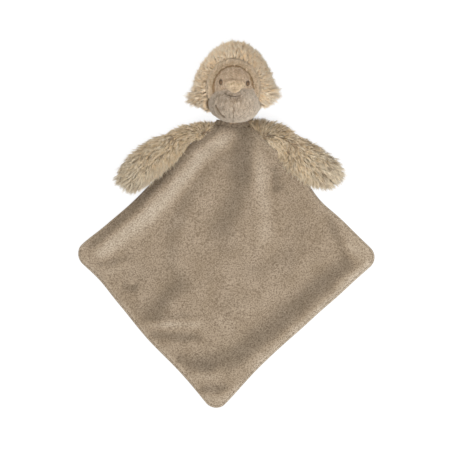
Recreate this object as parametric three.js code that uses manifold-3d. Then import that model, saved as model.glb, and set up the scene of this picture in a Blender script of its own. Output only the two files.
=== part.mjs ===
// Comfort blanket lovey: a small two-layer plush cloth with a stuffed animal head at its top corner
// and two furry arms sewn into its upper side seams.
//
// Millimetres, +Z up. The cloth lies on its back on the plane z = 0 and the head points along +Y.
// The origin is the middle of the cloth, on the plane that it rests on.

import * as THREE from 'three';
import { mergeVertices } from 'three/addons/utils/BufferGeometryUtils.js';
import Module from 'manifold-3d';

const wasm = await Module();
wasm.setup();

// Clearances
const seamGap = 0.3;
const fillingGap = 0.8;
const cutOverrun = 60;

// Blanket cloth
const blanketLength = 259;
const blanketWidth = 240;
const blanketSideAngle = 45.85;
const blanketCornerRadius = 9;
const clothThickness = 2.2;
const blanketCells = 26;

// Folds of the top cloth
const foldHeight = 8;
const foldWidth = 14;
const foldEndShares = [0.12, 0.88];
const foldEdgeShare = 0.7;
const neckSpread = 52;
const gatherFalloff = 6;

// Neck
const neckX = 2;
const neckSeamY = 151;
const neckZ = 19;
const neckBallRadius = 12;
const neckLength = 9;
const neckSkin = 1.6;
const neckGatherHalfWidth = 22;
const neckGatherHalfDepth = 10.8;
const neckGatherLength = 2.5;
const neckGatherTaper = 0.36;
const neckPleatDepth = 0.9;
const neckPleats = 14;
const neckPleatFadeShare = 0.4;
const neckOpeningAngle = 62;
const neckOpeningReach = 20;
const seamThreadRadius = 0.6;
const seamThreadAngle = 68;

// Head, measured on the backing cloth under the pile
const headHalfWidth = 38;
const headHalfHeight = 39;
const headHalfDepth = 34;
const headX = 1.3;
const headAboveNeck = 40;
const headZ = 35;
const headCloth = 1.8;
const hoodPile = 4.8;

// Face
const faceRise = 4;
const faceRadius = 26;
const faceRollRadius = 3.3;
const faceRollProud = 1.6;
const faceRollDropAngle = 16;
const faceRollEndShares = [0.06, 0.94];
const muzzleHalfWidth = 29;
const muzzleHalfHeight = 20.5;
const muzzleHalfDepth = 29.5;
const muzzleDrop = 24;
const muzzleForward = 13;
const bridgeAside = 1.5;
const bridgeHalfWidth = 11.5;
const bridgeHeight = 16;
const bridgeProud = 4.2;
const bridgeCrownShare = 1.35;
const eyeSpacing = 30;
const eyeHalfWidth = 2.3;
const eyeHalfHeight = 3.3;
const eyeProud = 1.1;
const smileWidth = 40;
const smileHeight = 12;
const smileThread = 0.7;
const smileRunShare = 0.7;
const smileDropShare = 0.16;

// Arms, measured over the combed-down pile
const armSeamStart = 42;
const armSeamLength = 26;
const armLength = 82;
const armRadius = 15.5;
const armRootHalfWidth = 13.5;
const armRootRadius = 7;
const armRootSwell = 28;
const armTipLength = 20;
const armTipRoundness = 2.4;
const armTipRingShare = 0.03;
const armRingCrowding = 1.25;
const armWall = 4.2;
const armMouthHalfHeight = 1;
const armStuffingStart = 6;
const armRootAngles = [217, -36];
const armTipAngles = [234, -40];
const shoulderHalfThickness = 3.2;
const shoulderLip = 2;
const shoulderGap = 0.6;

// Colours
const colours = {
  velour: 0x9e8d78,
  velourBack: 0x96866f,
  fur: 0xb59b74,
  furSleeve: 0xa98d68,
  face: 0xab967c,
  bridge: 0xc2ad8b,
  muzzle: 0xb29e85,
  eye: 0x3b2a20,
  thread: 0x7b6753,
  filling: 0xe9e4d8,
};

// Small helpers
const degrees = Math.PI / 180;
const { clamp, lerp, smoothstep } = THREE.MathUtils;

function material(colour, roughness = 0.95) {
  return new THREE.MeshStandardMaterial({ color: colour, roughness, metalness: 0 });
}

function piece(name, geometry, colour, roughness) {
  const mesh = new THREE.Mesh(geometry, material(colour, roughness));
  mesh.name = name;
  return mesh;
}

function indexed(positions, triangles) {
  const geometry = new THREE.BufferGeometry();
  geometry.setAttribute('position', new THREE.Float32BufferAttribute(positions, 3));
  geometry.setIndex(triangles);
  return geometry;
}

// A closed mesh as a solid for joins and cuts
function solidOf(geometry) {
  const bare = geometry.clone();
  bare.deleteAttribute('normal');
  bare.deleteAttribute('uv');
  const merged = mergeVertices(bare);
  return new wasm.Manifold(new wasm.Mesh({
    numProp: 3,
    vertProperties: new Float32Array(merged.attributes.position.array),
    triVerts: new Uint32Array(merged.index.array),
  }));
}

function geometryOf(solid) {
  const mesh = solid.getMesh();
  const geometry = indexed(Array.from(mesh.vertProperties), Array.from(mesh.triVerts));
  geometry.computeVertexNormals();
  return geometry;
}

function ellipsoid(centre, halfSizes, around = 24, along = 16) {
  const geometry = new THREE.SphereGeometry(1, around, along);
  geometry.scale(...halfSizes);
  geometry.translate(...centre);
  return solidOf(geometry);
}

function block(low, high) {
  const size = high.map((value, axis) => value - low[axis]);
  const middle = high.map((value, axis) => (value + low[axis]) / 2);
  const geometry = new THREE.BoxGeometry(...size);
  geometry.translate(...middle);
  return solidOf(geometry);
}

// A flat outline drawn out upwards from a place
function prismOf(outline, curveSegments, place) {
  const geometry = new THREE.ExtrudeGeometry(outline, {
    depth: cutOverrun,
    bevelEnabled: false,
    curveSegments,
  });
  geometry.translate(...place);
  return solidOf(geometry);
}

// A closed skin over rings of points, with a fan at each end
function loft(rings) {
  const sides = rings[0].length;
  const positions = [];
  const triangles = [];
  for (const ring of rings) {
    for (const point of ring) positions.push(point.x, point.y, point.z);
  }
  for (let station = 0; station + 1 < rings.length; station += 1) {
    for (let side = 0; side < sides; side += 1) {
      const next = (side + 1) % sides;
      const near = station * sides;
      const far = near + sides;
      triangles.push(near + side, near + next, far + next);
      triangles.push(near + side, far + next, far + side);
    }
  }
  for (const station of [0, rings.length - 1]) {
    const middle = new THREE.Vector3();
    for (const point of rings[station]) middle.addScaledVector(point, 1 / sides);
    const hub = positions.length / 3;
    positions.push(middle.x, middle.y, middle.z);
    for (let side = 0; side < sides; side += 1) {
      const here = station * sides + side;
      const next = station * sides + ((side + 1) % sides);
      if (station === 0) triangles.push(hub, next, here);
      else triangles.push(hub, here, next);
    }
  }
  return indexed(positions, triangles);
}

// A round cord along a path over a form, as a solid; the path and the radius take a share from 0 to 1
function cordAlong(path, radius, formCentre, stations, sides) {
  const rings = [];
  const step = 1 / stations;
  for (let station = 0; station <= stations; station += 1) {
    const share = station * step;
    const centre = path(share);
    const along = path(share + step / 2).sub(path(share - step / 2)).normalize();
    const outward = centre.clone().sub(new THREE.Vector3(...formCentre)).normalize();
    const sideways = new THREE.Vector3().crossVectors(along, outward).normalize();
    const up = new THREE.Vector3().crossVectors(along, sideways);
    const ring = [];
    for (let side = 0; side < sides; side += 1) {
      const angle = side / sides * 2 * Math.PI;
      ring.push(centre.clone()
        .addScaledVector(sideways, radius(share) * Math.cos(angle))
        .addScaledVector(up, radius(share) * Math.sin(angle)));
    }
    rings.push(ring);
  }
  return solidOf(loft(rings));
}

// A closed sheet: a grid of points on its underside, and the same grid one thickness up
function sheet(columns, rows, place, thickness) {
  const across = columns + 1;
  const layer = across * (rows + 1);
  const positions = [];
  const triangles = [];
  for (const lift of [0, thickness]) {
    for (let row = 0; row <= rows; row += 1) {
      for (let column = 0; column <= columns; column += 1) {
        const point = place(column / columns, row / rows);
        positions.push(point.x, point.y, point.z + lift);
      }
    }
  }
  for (let row = 0; row < rows; row += 1) {
    for (let column = 0; column < columns; column += 1) {
      const a = row * across + column;
      const b = a + 1;
      const c = a + across;
      const d = c + 1;
      const even = (row < rows / 2) === (column < columns / 2);
      const split = even ? [[a, b, d], [a, d, c]] : [[a, b, c], [b, d, c]];
      for (const [p, q, r] of split) {
        triangles.push(p, r, q);
        triangles.push(layer + p, layer + q, layer + r);
      }
    }
  }
  const rim = [];
  for (let column = 0; column < columns; column += 1) rim.push(column);
  for (let row = 0; row < rows; row += 1) rim.push(row * across + columns);
  for (let column = columns; column > 0; column -= 1) rim.push(rows * across + column);
  for (let row = rows; row > 0; row -= 1) rim.push(row * across);
  rim.forEach((here, index) => {
    const next = rim[(index + 1) % rim.length];
    triangles.push(here, next, layer + next);
    triangles.push(here, layer + next, layer + here);
  });
  return indexed(positions, triangles);
}

// Blanket outline: a rectangle turned onto its corner, its top corner cut off at the neck seam
const sideAngle = blanketSideAngle * degrees;
const lengthway = new THREE.Vector2(Math.cos(sideAngle), Math.sin(sideAngle));
const widthway = new THREE.Vector2(lengthway.x, -lengthway.y);
const topCorner = new THREE.Vector2()
  .addScaledVector(lengthway, blanketLength / 2)
  .addScaledVector(widthway, -blanketWidth / 2);

function roundedCorner(along, across) {
  const straightLength = blanketLength / 2 - blanketCornerRadius;
  const straightWidth = blanketWidth / 2 - blanketCornerRadius;
  const past = new THREE.Vector2(Math.abs(along) - straightLength, Math.abs(across) - straightWidth);
  const atNeck = along > 0 && across < 0;
  if (past.x <= 0 || past.y <= 0 || atNeck) return [along, across];
  past.setLength(Math.min(past.length(), blanketCornerRadius));
  return [Math.sign(along) * (straightLength + past.x), Math.sign(across) * (straightWidth + past.y)];
}

// Shares run from 0 to 1 along the blanket's length and across its width
function blanketPoint(lengthShare, widthShare) {
  const s = 2 * lengthShare - 1;
  const t = 2 * widthShare - 1;
  const reach = Math.max(Math.abs(s), Math.abs(t));
  if (reach === 0) return new THREE.Vector2();
  const [along, across] = roundedCorner(s / reach * blanketLength / 2, t / reach * blanketWidth / 2);
  const edge = new THREE.Vector2().addScaledVector(lengthway, along).addScaledVector(widthway, across);
  if (edge.y > neckSeamY) edge.multiplyScalar(neckSeamY / edge.y);
  return gathered(edge.multiplyScalar(reach));
}

// 1 at the neck seam, fading to 0 down the cloth
function nearNeck(y) {
  return smoothstep(y, neckSeamY - 2 * neckSpread, neckSeamY) ** 2;
}

// The flat cloth's middle and half its width, level with a point
function flatSpan(y) {
  return { middle: topCorner.x, halfWidth: (topCorner.y - y) * lengthway.x / lengthway.y };
}

// The same once the neck seam has drawn the cloth together
function clothSpan(y) {
  const flat = flatSpan(y);
  const near = nearNeck(y);
  const drawn = lerp(1, neckGatherHalfWidth / flatSpan(neckSeamY).halfWidth, near ** gatherFalloff);
  return { middle: lerp(flat.middle, neckX, near), halfWidth: flat.halfWidth * drawn };
}

function gathered(point) {
  const flat = flatSpan(point.y);
  const drawn = clothSpan(point.y);
  const x = drawn.middle + (point.x - flat.middle) * drawn.halfWidth / flat.halfWidth;
  return new THREE.Vector2(x, point.y);
}

function acrossShare(point) {
  const { middle, halfWidth } = clothSpan(point.y);
  return clamp(Math.abs(point.x - middle) / halfWidth, 0, 1);
}

// Underside of the back layer: flat on its rest plane, lifted to the neck and its side seams
const neckUnderside = neckZ - neckGatherHalfDepth;
const seamHeight = neckZ - 2 * clothThickness;

function backHeight(point) {
  const near = nearNeck(point.y);
  const share = acrossShare(point) ** 3;
  return near * lerp(neckUnderside, seamHeight, share);
}

// Each fold runs between two places, given as shares of the cloth's half diagonals. Its height and width
// are shares of foldHeight and foldWidth, and a negative height is a valley.
const halfAcross = (blanketLength + blanketWidth) / 2 * lengthway.x;
const halfUp = (blanketLength + blanketWidth) / 2 * lengthway.y;
const foldShares = [
  { from: [-0.03, 0.83], to: [-0.86, 0.05], height: 0.9, width: 1.0 },
  { from: [0.07, 0.84], to: [0.03, 0.16], height: -0.4, width: 0.9 },
  { from: [-0.10, 0.62], to: [-0.30, 0.20], height: 0.35, width: 0.9 },
  { from: [0.26, 0.66], to: [0.27, 0.20], height: 0.35, width: 0.8 },
  { from: [0.34, 0.56], to: [0.62, 0.26], height: 0.3, width: 0.8 },
  { from: [0.88, -0.02], to: [0.06, -0.86], height: 0.6, width: 0.9 },
  { from: [-0.47, -0.46], to: [-0.10, -0.49], height: 0.4, width: 0.6 },
  { from: [-0.30, -0.20], to: [-0.44, -0.38], height: 0.3, width: 0.9 },
];

function foldRise(point) {
  let rise = 0;
  for (const { from, to, height, width } of foldShares) {
    const start = new THREE.Vector2(from[0] * halfAcross, from[1] * halfUp);
    const run = new THREE.Vector2(to[0] * halfAcross, to[1] * halfUp).sub(start);
    const offset = point.clone().sub(start);
    const share = clamp(offset.dot(run) / run.lengthSq(), 0, 1);
    const away = offset.addScaledVector(run, -share).length() / (foldWidth * width);
    const ends = Math.sin(Math.PI * lerp(...foldEndShares, share));
    rise += foldHeight * height * ends * Math.exp(-away * away);
  }
  return rise;
}

function edgeFade(lengthShare, widthShare) {
  const reach = Math.max(Math.abs(2 * lengthShare - 1), Math.abs(2 * widthShare - 1));
  return 1 - smoothstep(reach, foldEdgeShare, 1);
}

const neckPuff = 2 * (neckGatherHalfDepth - clothThickness) - seamGap;

// How far the front layer stands off the back one; a valley stops where it meets it
function frontLift(point, fade) {
  const dome = Math.sqrt(1 - acrossShare(point) ** 2);
  const rise = nearNeck(point.y) * neckPuff * dome + foldRise(point) * fade;
  return seamGap + Math.max(0, rise);
}

function makeBlanket() {
  const back = (widthShare, lengthShare) => {
    const point = blanketPoint(lengthShare, widthShare);
    return new THREE.Vector3(point.x, point.y, backHeight(point));
  };
  const front = (widthShare, lengthShare) => {
    const point = blanketPoint(lengthShare, widthShare);
    const lift = frontLift(point, edgeFade(lengthShare, widthShare));
    return new THREE.Vector3(point.x, point.y, backHeight(point) + clothThickness + lift);
  };
  const layer = (place) => sheet(blanketCells, blanketCells, place, clothThickness);
  return [
    piece('blanket_back', layer(back), colours.velourBack),
    piece('blanket_front', layer(front), colours.velour),
  ];
}

// Neck: a soft ball held in the gathered cloth, so that the head flops and turns about its centre
const neckCentre = [neckX, neckSeamY + neckLength, neckZ];

function neckBall(radius) {
  return ellipsoid(neckCentre, [radius, radius, radius], 16, 10);
}

function aboutNeck(geometry) {
  geometry.translate(...neckCentre);
  return geometry;
}

function makeNeckGather() {
  const rings = [];
  const stations = 3;
  const sides = neckPleats * 4;
  for (let station = 0; station <= stations; station += 1) {
    const share = station / stations;
    const taper = 1 - neckGatherTaper * share * share;
    const ring = [];
    for (let side = 0; side < sides; side += 1) {
      const angle = side / sides * 2 * Math.PI;
      const wave = (1 + Math.cos(neckPleats * angle)) / 2;
      const pleat = neckPleatDepth * wave * (1 - neckPleatFadeShare * share);
      ring.push(new THREE.Vector3(
        neckX + (neckGatherHalfWidth - pleat) * taper * Math.cos(angle),
        neckSeamY + seamGap + share * neckGatherLength,
        neckZ - (neckGatherHalfDepth - pleat) * Math.sin(angle),
      ));
    }
    rings.push(ring);
  }
  const seat = neckBall(neckBallRadius + seamGap);
  return piece('neck_gather', geometryOf(solidOf(loft(rings)).subtract(seat)), colours.velour);
}

function makeNeckCore() {
  const core = neckBall(neckBallRadius - neckSkin - seamGap);
  const low = neckCentre.map((value) => value - cutOverrun);
  const high = neckCentre.map((value) => value + cutOverrun);
  const band = neckBallRadius * Math.cos(neckOpeningAngle / 2 * degrees);
  low[1] = neckCentre[1] - band;
  high[1] = neckCentre[1] + band;
  const skin = neckBall(neckBallRadius)
    .subtract(neckBall(neckBallRadius - neckSkin))
    .intersect(block(low, high));
  return [
    piece('neck_sleeve', geometryOf(skin), colours.velour),
    piece('neck_stuffing', geometryOf(core), colours.filling),
  ];
}

const threadOrbit = neckBallRadius + seamGap + seamThreadRadius;

function makeNeckSeam() {
  const angle = seamThreadAngle * degrees;
  const ring = new THREE.TorusGeometry(threadOrbit * Math.sin(angle), seamThreadRadius, 5, 24);
  ring.rotateX(Math.PI / 2);
  ring.translate(0, threadOrbit * Math.cos(angle), 0);
  return piece('neck_seam_thread', geometryOf(solidOf(aboutNeck(ring))), colours.thread);
}

// The hollow in the underside of the head: a socket for the ball, flared so that the head can nod
function neckOpening() {
  const socket = neckBallRadius + seamGap;
  const steps = 5;
  const outline = [new THREE.Vector2(0, socket)];
  for (let step = 1; step <= steps; step += 1) {
    const angle = neckOpeningAngle * degrees * step / steps;
    outline.push(new THREE.Vector2(socket * Math.sin(angle), socket * Math.cos(angle)));
  }
  for (let step = 0; step <= steps; step += 1) {
    const angle = lerp(neckOpeningAngle, 180, step / steps) * degrees;
    const width = step === steps ? 0 : neckOpeningReach * Math.sin(angle);
    outline.push(new THREE.Vector2(width, neckOpeningReach * Math.cos(angle)));
  }
  return solidOf(aboutNeck(new THREE.LatheGeometry(outline.reverse(), 18)));
}

// Head: one egg-shaped form, grown or shrunk by an offset, and flattened where it lies on its back
const headCentre = [headX, neckCentre[1] + headAboveNeck, headZ];

function headForm(offset, floor) {
  const halfSizes = [headHalfWidth + offset, headHalfHeight + offset, headHalfDepth + offset];
  const low = [headX - cutOverrun, headCentre[1] - cutOverrun, floor];
  const high = [headX + cutOverrun, headCentre[1] + cutOverrun, headZ + cutOverrun];
  return ellipsoid(headCentre, halfSizes).intersect(block(low, high));
}

// The height of that form's front, over a place on the face
function faceHeight(x, y, offset) {
  const across = (x - headX) / (headHalfWidth + offset);
  const up = (y - headCentre[1]) / (headHalfHeight + offset);
  return headZ + (headHalfDepth + offset) * Math.sqrt(Math.max(0, 1 - across * across - up * up));
}

// Muzzle form, grown or shrunk by an offset
const muzzleCentre = [headX, headCentre[1] - muzzleDrop, headZ + muzzleForward];

function muzzleForm(offset) {
  const halfSizes = [muzzleHalfWidth + offset, muzzleHalfHeight + offset, muzzleHalfDepth + offset];
  return ellipsoid(muzzleCentre, halfSizes, 22, 14);
}

function muzzleHeight(x, y, offset) {
  const across = (x - muzzleCentre[0]) / (muzzleHalfWidth + offset);
  const up = (y - muzzleCentre[1]) / (muzzleHalfHeight + offset);
  return muzzleCentre[2] + (muzzleHalfDepth + offset) * Math.sqrt(Math.max(0, 1 - across * across - up * up));
}

// The arched window in the hood, cut straight through its front
const faceCentre = [headX, headCentre[1] - faceRise];

function faceWindow(radius) {
  const arch = new THREE.Shape();
  arch.moveTo(-radius, muzzleCentre[1] - faceCentre[1]);
  arch.lineTo(radius, muzzleCentre[1] - faceCentre[1]);
  arch.lineTo(radius, 0);
  arch.absarc(0, 0, radius, 0, Math.PI, false);
  return prismOf(arch, 16, [...faceCentre, headZ]);
}

function halves(solid, names, colour) {
  const low = headCentre.map((value) => value - 2 * cutOverrun);
  const high = headCentre.map((value) => value + 2 * cutOverrun);
  const left = block(low, [headX - seamGap / 2, high[1], high[2]]);
  const right = block([headX + seamGap / 2, low[1], low[2]], high);
  return [
    piece(names[0], geometryOf(solid.intersect(left)), colour),
    piece(names[1], geometryOf(solid.intersect(right)), colour),
  ];
}

function makeHood() {
  const skinFloor = headCloth + hoodPile;
  const hood = headForm(hoodPile, 0)
    .subtract(headForm(-headCloth, skinFloor))
    .subtract(faceWindow(faceRadius + faceRollRadius + seamGap))
    .subtract(muzzleForm(seamGap))
    .subtract(neckOpening());
  return halves(hood, ['hood_left', 'hood_right'], colours.fur);
}

function makeHeadStuffing() {
  const floor = headCloth + hoodPile + seamGap;
  const filling = headForm(-headCloth - seamGap, floor).subtract(neckOpening());
  return piece('head_stuffing', geometryOf(filling), colours.filling);
}

function makeFacePanel() {
  const front = block(
    [headX - cutOverrun, headCentre[1] - cutOverrun, headZ],
    [headX + cutOverrun, headCentre[1] + cutOverrun, headZ + cutOverrun],
  );
  const window = faceWindow(faceRadius + faceRollRadius).add(muzzleForm(0)).intersect(front);
  const panel = headForm(0, 0)
    .subtract(headForm(-headCloth, 0))
    .intersect(window)
    .subtract(neckOpening());
  return piece('face_panel', geometryOf(panel), colours.face);
}

// The rolled edge of the hood, round the top and sides of the face
function makeFaceRoll() {
  const from = -faceRollDropAngle * degrees;
  const to = Math.PI + faceRollDropAngle * degrees;
  const path = (share) => {
    const angle = lerp(from, to, share);
    const x = faceCentre[0] + faceRadius * Math.cos(angle);
    const y = faceCentre[1] + faceRadius * Math.sin(angle);
    return new THREE.Vector3(x, y, faceHeight(x, y, faceRollProud));
  };
  const radius = (share) => faceRollRadius * Math.sqrt(Math.sin(Math.PI * lerp(...faceRollEndShares, share)));
  const roll = cordAlong(path, radius, headCentre, 22, 8)
    .subtract(headForm(seamGap, 0))
    .subtract(muzzleForm(seamGap));
  return piece('face_roll', geometryOf(roll), colours.muzzle);
}

// Control and end points of the pad's curves, as shares of its half width and its height
const bridgeOutlineShares = [
  [-0.9, 0.12, 0, 0.1],
  [0.9, 0.12, 1, 0],
  [0.9, -0.45, 0.3, -0.85],
  [0, -1, -0.3, -0.85],
  [-0.9, -0.45, -1, 0],
];

// The pale triangular pad between the eyes, which runs down onto the muzzle
function makeNoseBridge() {
  const top = faceCentre[1] + bridgeHeight / 2;
  const outline = new THREE.Shape();
  outline.moveTo(-bridgeHalfWidth, 0);
  for (const [controlAcross, controlUp, endAcross, endUp] of bridgeOutlineShares) {
    outline.quadraticCurveTo(
      bridgeHalfWidth * controlAcross,
      bridgeHeight * controlUp,
      bridgeHalfWidth * endAcross,
      bridgeHeight * endUp,
    );
  }
  const x = headX + bridgeAside;
  const crest = faceHeight(x, faceCentre[1], 0) + bridgeProud;
  const middle = [x, top - bridgeHeight / 2, crest - bridgeHeight];
  const crown = ellipsoid(middle, [bridgeHalfWidth * bridgeCrownShare, bridgeHeight, bridgeHeight], 20, 12);
  const pad = prismOf(outline, 5, [x, top, headZ])
    .intersect(crown)
    .subtract(headForm(seamGap, 0))
    .subtract(muzzleForm(seamGap));
  return piece('nose_bridge', geometryOf(pad), colours.bridge);
}

function makeMuzzle() {
  const seat = headForm(seamGap, 0);
  const skin = muzzleForm(0)
    .subtract(muzzleForm(-headCloth))
    .subtract(seat)
    .subtract(neckOpening());
  const filling = muzzleForm(-headCloth - seamGap).subtract(seat).subtract(neckOpening());
  return [
    ...halves(skin, ['muzzle_left', 'muzzle_right'], colours.muzzle),
    piece('muzzle_stuffing', geometryOf(filling), colours.filling),
  ];
}

// Embroidered eyes: low ovals of satin stitch on the face panel
function makeEye(side, name) {
  const x = headX + side * eyeSpacing / 2;
  const y = faceCentre[1] + faceRise;
  const eye = ellipsoid([x, y, faceHeight(x, y, seamGap)], [eyeHalfWidth, eyeHalfHeight, eyeProud], 12, 8);
  return piece(name, geometryOf(eye.subtract(headForm(seamGap, 0))), colours.eye, 0.6);
}

// One half of the smile: a thread laid on the muzzle, from the cheek down towards the middle seam
function makeSmile(side, name) {
  const path = (share) => {
    const x = headX + side * smileWidth / 2 * (1 - smileRunShare * share);
    const drop = muzzleHalfHeight * smileDropShare + smileHeight * Math.sin(share * Math.PI / 2);
    const y = muzzleCentre[1] - drop;
    return new THREE.Vector3(x, y, muzzleHeight(x, y, smileThread + seamGap));
  };
  const thread = cordAlong(path, () => smileThread, muzzleCentre, 12, 6).subtract(muzzleForm(seamGap));
  return piece(name, geometryOf(thread), colours.thread);
}

// Arms. Side 0 is the left arm and side 1 the right one, as seen from above
function seamPlace(side, distance) {
  const down = side === 0 ? lengthway.clone().negate() : widthway.clone();
  const outward = upwardFrom(side, down);
  return { place: gathered(topCorner.clone().addScaledVector(down, distance)), outward };
}

// Square to a direction that leads away from the neck, on the side that faces up the sheet
function upwardFrom(side, direction) {
  const { x, y } = direction;
  return side === 0 ? new THREE.Vector2(y, -x) : new THREE.Vector2(-y, x);
}

function turnAt(side, share) {
  return lerp(armRootAngles[side], armTipAngles[side], share) * degrees;
}

function headingOf(angle) {
  return new THREE.Vector2(Math.cos(angle), Math.sin(angle));
}

// The outer edge of the flat shoulder: its lower end stands on the seam's lower end
function shoulderEdge(side, share) {
  const heading = headingOf(turnAt(side, 0));
  const upward = upwardFrom(side, heading);
  const { place, outward } = seamPlace(side, armSeamStart + armSeamLength);
  return place.addScaledVector(outward, shoulderLip).addScaledVector(upward, share * 2 * armRootHalfWidth);
}

function hingePlace(side) {
  return shoulderEdge(side, 1 / 2).addScaledVector(headingOf(turnAt(side, 0)), armRootRadius + seamGap);
}

// A place and a heading on the arm's middle line, which bends steadily from the hinge to the tip
function armLine(side, distance) {
  const steps = 24;
  const place = hingePlace(side);
  const along = clamp(distance / armLength, 0, 1);
  for (let step = 0; step < steps; step += 1) {
    const angle = turnAt(side, along * (step + 1 / 2) / steps);
    place.addScaledVector(headingOf(angle), along * armLength / steps);
  }
  const angle = turnAt(side, along);
  place.addScaledVector(headingOf(angle), distance - along * armLength);
  return { place, angle };
}

// How full the arm is, from 0 at the root to 1, and how far its rounded tip has closed
function armFullness(distance) {
  return smoothstep(distance, 0, armRootSwell);
}

function armTip(distance, inset) {
  const share = clamp((distance - armLength + armTipLength) / (armTipLength - inset), 0, 1);
  return Math.sqrt(Math.max(0, 1 - share ** armTipRoundness));
}

// Distances along the arm, closer together towards the tip
function armStations(start, end) {
  const steps = 14;
  const shareAt = (step) => 1 - (1 - step / steps) ** armRingCrowding;
  return Array.from({ length: steps + 1 }, (_, step) => lerp(start, end, shareAt(step)));
}

function armLoft(side, distances, halfWidth, halfHeight) {
  const sides = 12;
  const rings = distances.map((distance) => {
    const { place, angle } = armLine(side, distance);
    const ring = [];
    for (let corner = 0; corner < sides; corner += 1) {
      const turn = corner / sides * 2 * Math.PI;
      const across = halfWidth(distance) * Math.cos(turn);
      ring.push(new THREE.Vector3(
        place.x - across * Math.sin(angle),
        place.y + across * Math.cos(angle),
        armRadius + halfHeight(distance) * Math.sin(turn),
      ));
    }
    return ring;
  });
  return solidOf(loft(rings));
}

// The round root end turns about the hinge line without leaving its seat
const rootRoundShares = [-0.98, -0.85, -0.5];

function rootRound(distance) {
  return distance < 0 ? Math.sqrt(1 - (distance / armRootRadius) ** 2) : 1;
}

function makeArm(side, word) {
  const endRing = armTipLength * armTipRingShare;
  const width = (d) => lerp(armRootHalfWidth, armRadius, armFullness(d));
  const height = (d) => lerp(armRootRadius, armRadius, armFullness(d));
  const outside = armLoft(
    side,
    [...rootRoundShares.map((share) => share * armRootRadius), ...armStations(0, armLength - endRing)],
    (d) => width(d) * armTip(d, 0),
    (d) => height(d) * armTip(d, 0) * rootRound(d),
  );
  const hollow = (gap, start) => armLoft(
    side,
    armStations(start, armLength - armWall - gap - endRing),
    (d) => (width(d) - armWall - gap) * armTip(d, armWall + gap),
    (d) => (height(d) - armWall - gap) * armTip(d, armWall + gap),
  );
  const mouth = armLoft(
    side,
    [-2 * armRootRadius, armRootRadius],
    () => armRootHalfWidth - armWall,
    () => armMouthHalfHeight,
  );
  const sleeve = outside.subtract(hollow(0, 0)).subtract(mouth);
  return [
    piece(`arm_${word}_sleeve`, geometryOf(sleeve), colours.furSleeve),
    piece(`arm_${word}_stuffing`, geometryOf(hollow(fillingGap, armStuffingStart)), colours.filling),
  ];
}

// The flat, empty end of the sleeve, caught in the blanket's side seam
function makeShoulder(side, word) {
  const place = (outShare, downShare) => {
    const { place: seam, outward } = seamPlace(side, armSeamStart + downShare * armSeamLength);
    seam.addScaledVector(outward, shoulderGap);
    const middle = lerp(backHeight(seam) + clothThickness + seamGap / 2, armRadius, outShare);
    const spot = seam.lerp(shoulderEdge(side, 1 - downShare), outShare);
    return new THREE.Vector3(spot.x, spot.y, middle - shoulderHalfThickness);
  };
  const ordered = side === 0 ? place : (outShare, downShare) => place(outShare, 1 - downShare);
  return piece(`shoulder_${word}`, sheet(4, 6, ordered, 2 * shoulderHalfThickness), colours.furSleeve);
}

// Assembly
const lovey = new THREE.Group();
const head = new THREE.Group();
head.add(
  makeHeadStuffing(),
  ...makeHood(),
  makeFacePanel(),
  makeFaceRoll(),
  makeNoseBridge(),
  ...makeMuzzle(),
  makeEye(-1, 'eye_left'),
  makeEye(1, 'eye_right'),
  makeSmile(-1, 'smile_stitch_left'),
  makeSmile(1, 'smile_stitch_right'),
);
lovey.add(
  ...makeBlanket(),
  makeNeckGather(),
  ...makeNeckCore(),
  makeNeckSeam(),
  head,
  makeShoulder(0, 'left'),
  makeShoulder(1, 'right'),
  ...makeArm(0, 'left'),
  ...makeArm(1, 'right'),
);

export default lovey;
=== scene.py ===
# Comfort blanket lovey: the finished look of the plush cloth, its stuffed head and its furry arms.
# Metres, +Z up. The cloth lies on its back and the head points along +Y.

import math
import bpy
import numpy as np
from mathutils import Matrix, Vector, kdtree, noise


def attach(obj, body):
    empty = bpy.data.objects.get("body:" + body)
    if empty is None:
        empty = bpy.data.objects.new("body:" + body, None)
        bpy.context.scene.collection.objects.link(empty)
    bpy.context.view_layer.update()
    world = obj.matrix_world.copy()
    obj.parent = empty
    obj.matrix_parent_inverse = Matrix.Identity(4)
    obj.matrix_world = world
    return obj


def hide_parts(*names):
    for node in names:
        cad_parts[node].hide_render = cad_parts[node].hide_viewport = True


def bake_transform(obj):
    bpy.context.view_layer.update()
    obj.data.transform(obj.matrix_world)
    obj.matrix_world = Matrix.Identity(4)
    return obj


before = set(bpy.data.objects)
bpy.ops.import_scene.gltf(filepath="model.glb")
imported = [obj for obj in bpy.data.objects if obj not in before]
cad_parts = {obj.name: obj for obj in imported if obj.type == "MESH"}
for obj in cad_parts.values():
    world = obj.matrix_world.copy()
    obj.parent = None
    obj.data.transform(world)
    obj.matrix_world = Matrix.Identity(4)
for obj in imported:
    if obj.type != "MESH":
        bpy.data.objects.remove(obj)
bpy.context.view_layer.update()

# Photograph: the frame's width, the point under its middle and how far it is rolled
VIEW_WIDTH = 0.5175
VIEW_MIDDLE = (-0.0013, 0.0364)
VIEW_ROLL = math.radians(2.75)

# Blanket
CLOTH_LENGTH = 0.259
CLOTH_WIDTH = 0.240
CLOTH_ANGLE = math.radians(45.85)
CORNER_RADIUS = 0.013
CLOTH_THICKNESS = 0.0022
LAYER_GAP = 0.0003
FOLD_HEIGHT = 0.008
FOLD_WIDTH = 0.012

# Neck
NECK_CENTRE = np.array([0.002, 0.160, 0.019])
NECK_SEAM_Y = 0.151
NECK_SPREAD = 0.052
NECK_BALL_RADIUS = 0.012
GATHER_HALF_WIDTH = 0.022
GATHER_HALF_DEPTH = 0.0108
GATHER_FALLOFF = 6

# Head and muzzle
HEAD_CENTRE = np.array([0.0013, 0.200, 0.035])
HEAD_HALF = np.array([0.038, 0.039, 0.034])
MUZZLE_CENTRE = np.array([0.0013, 0.176, 0.048])
MUZZLE_HALF = np.array([0.029, 0.0205, 0.0295])

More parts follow.
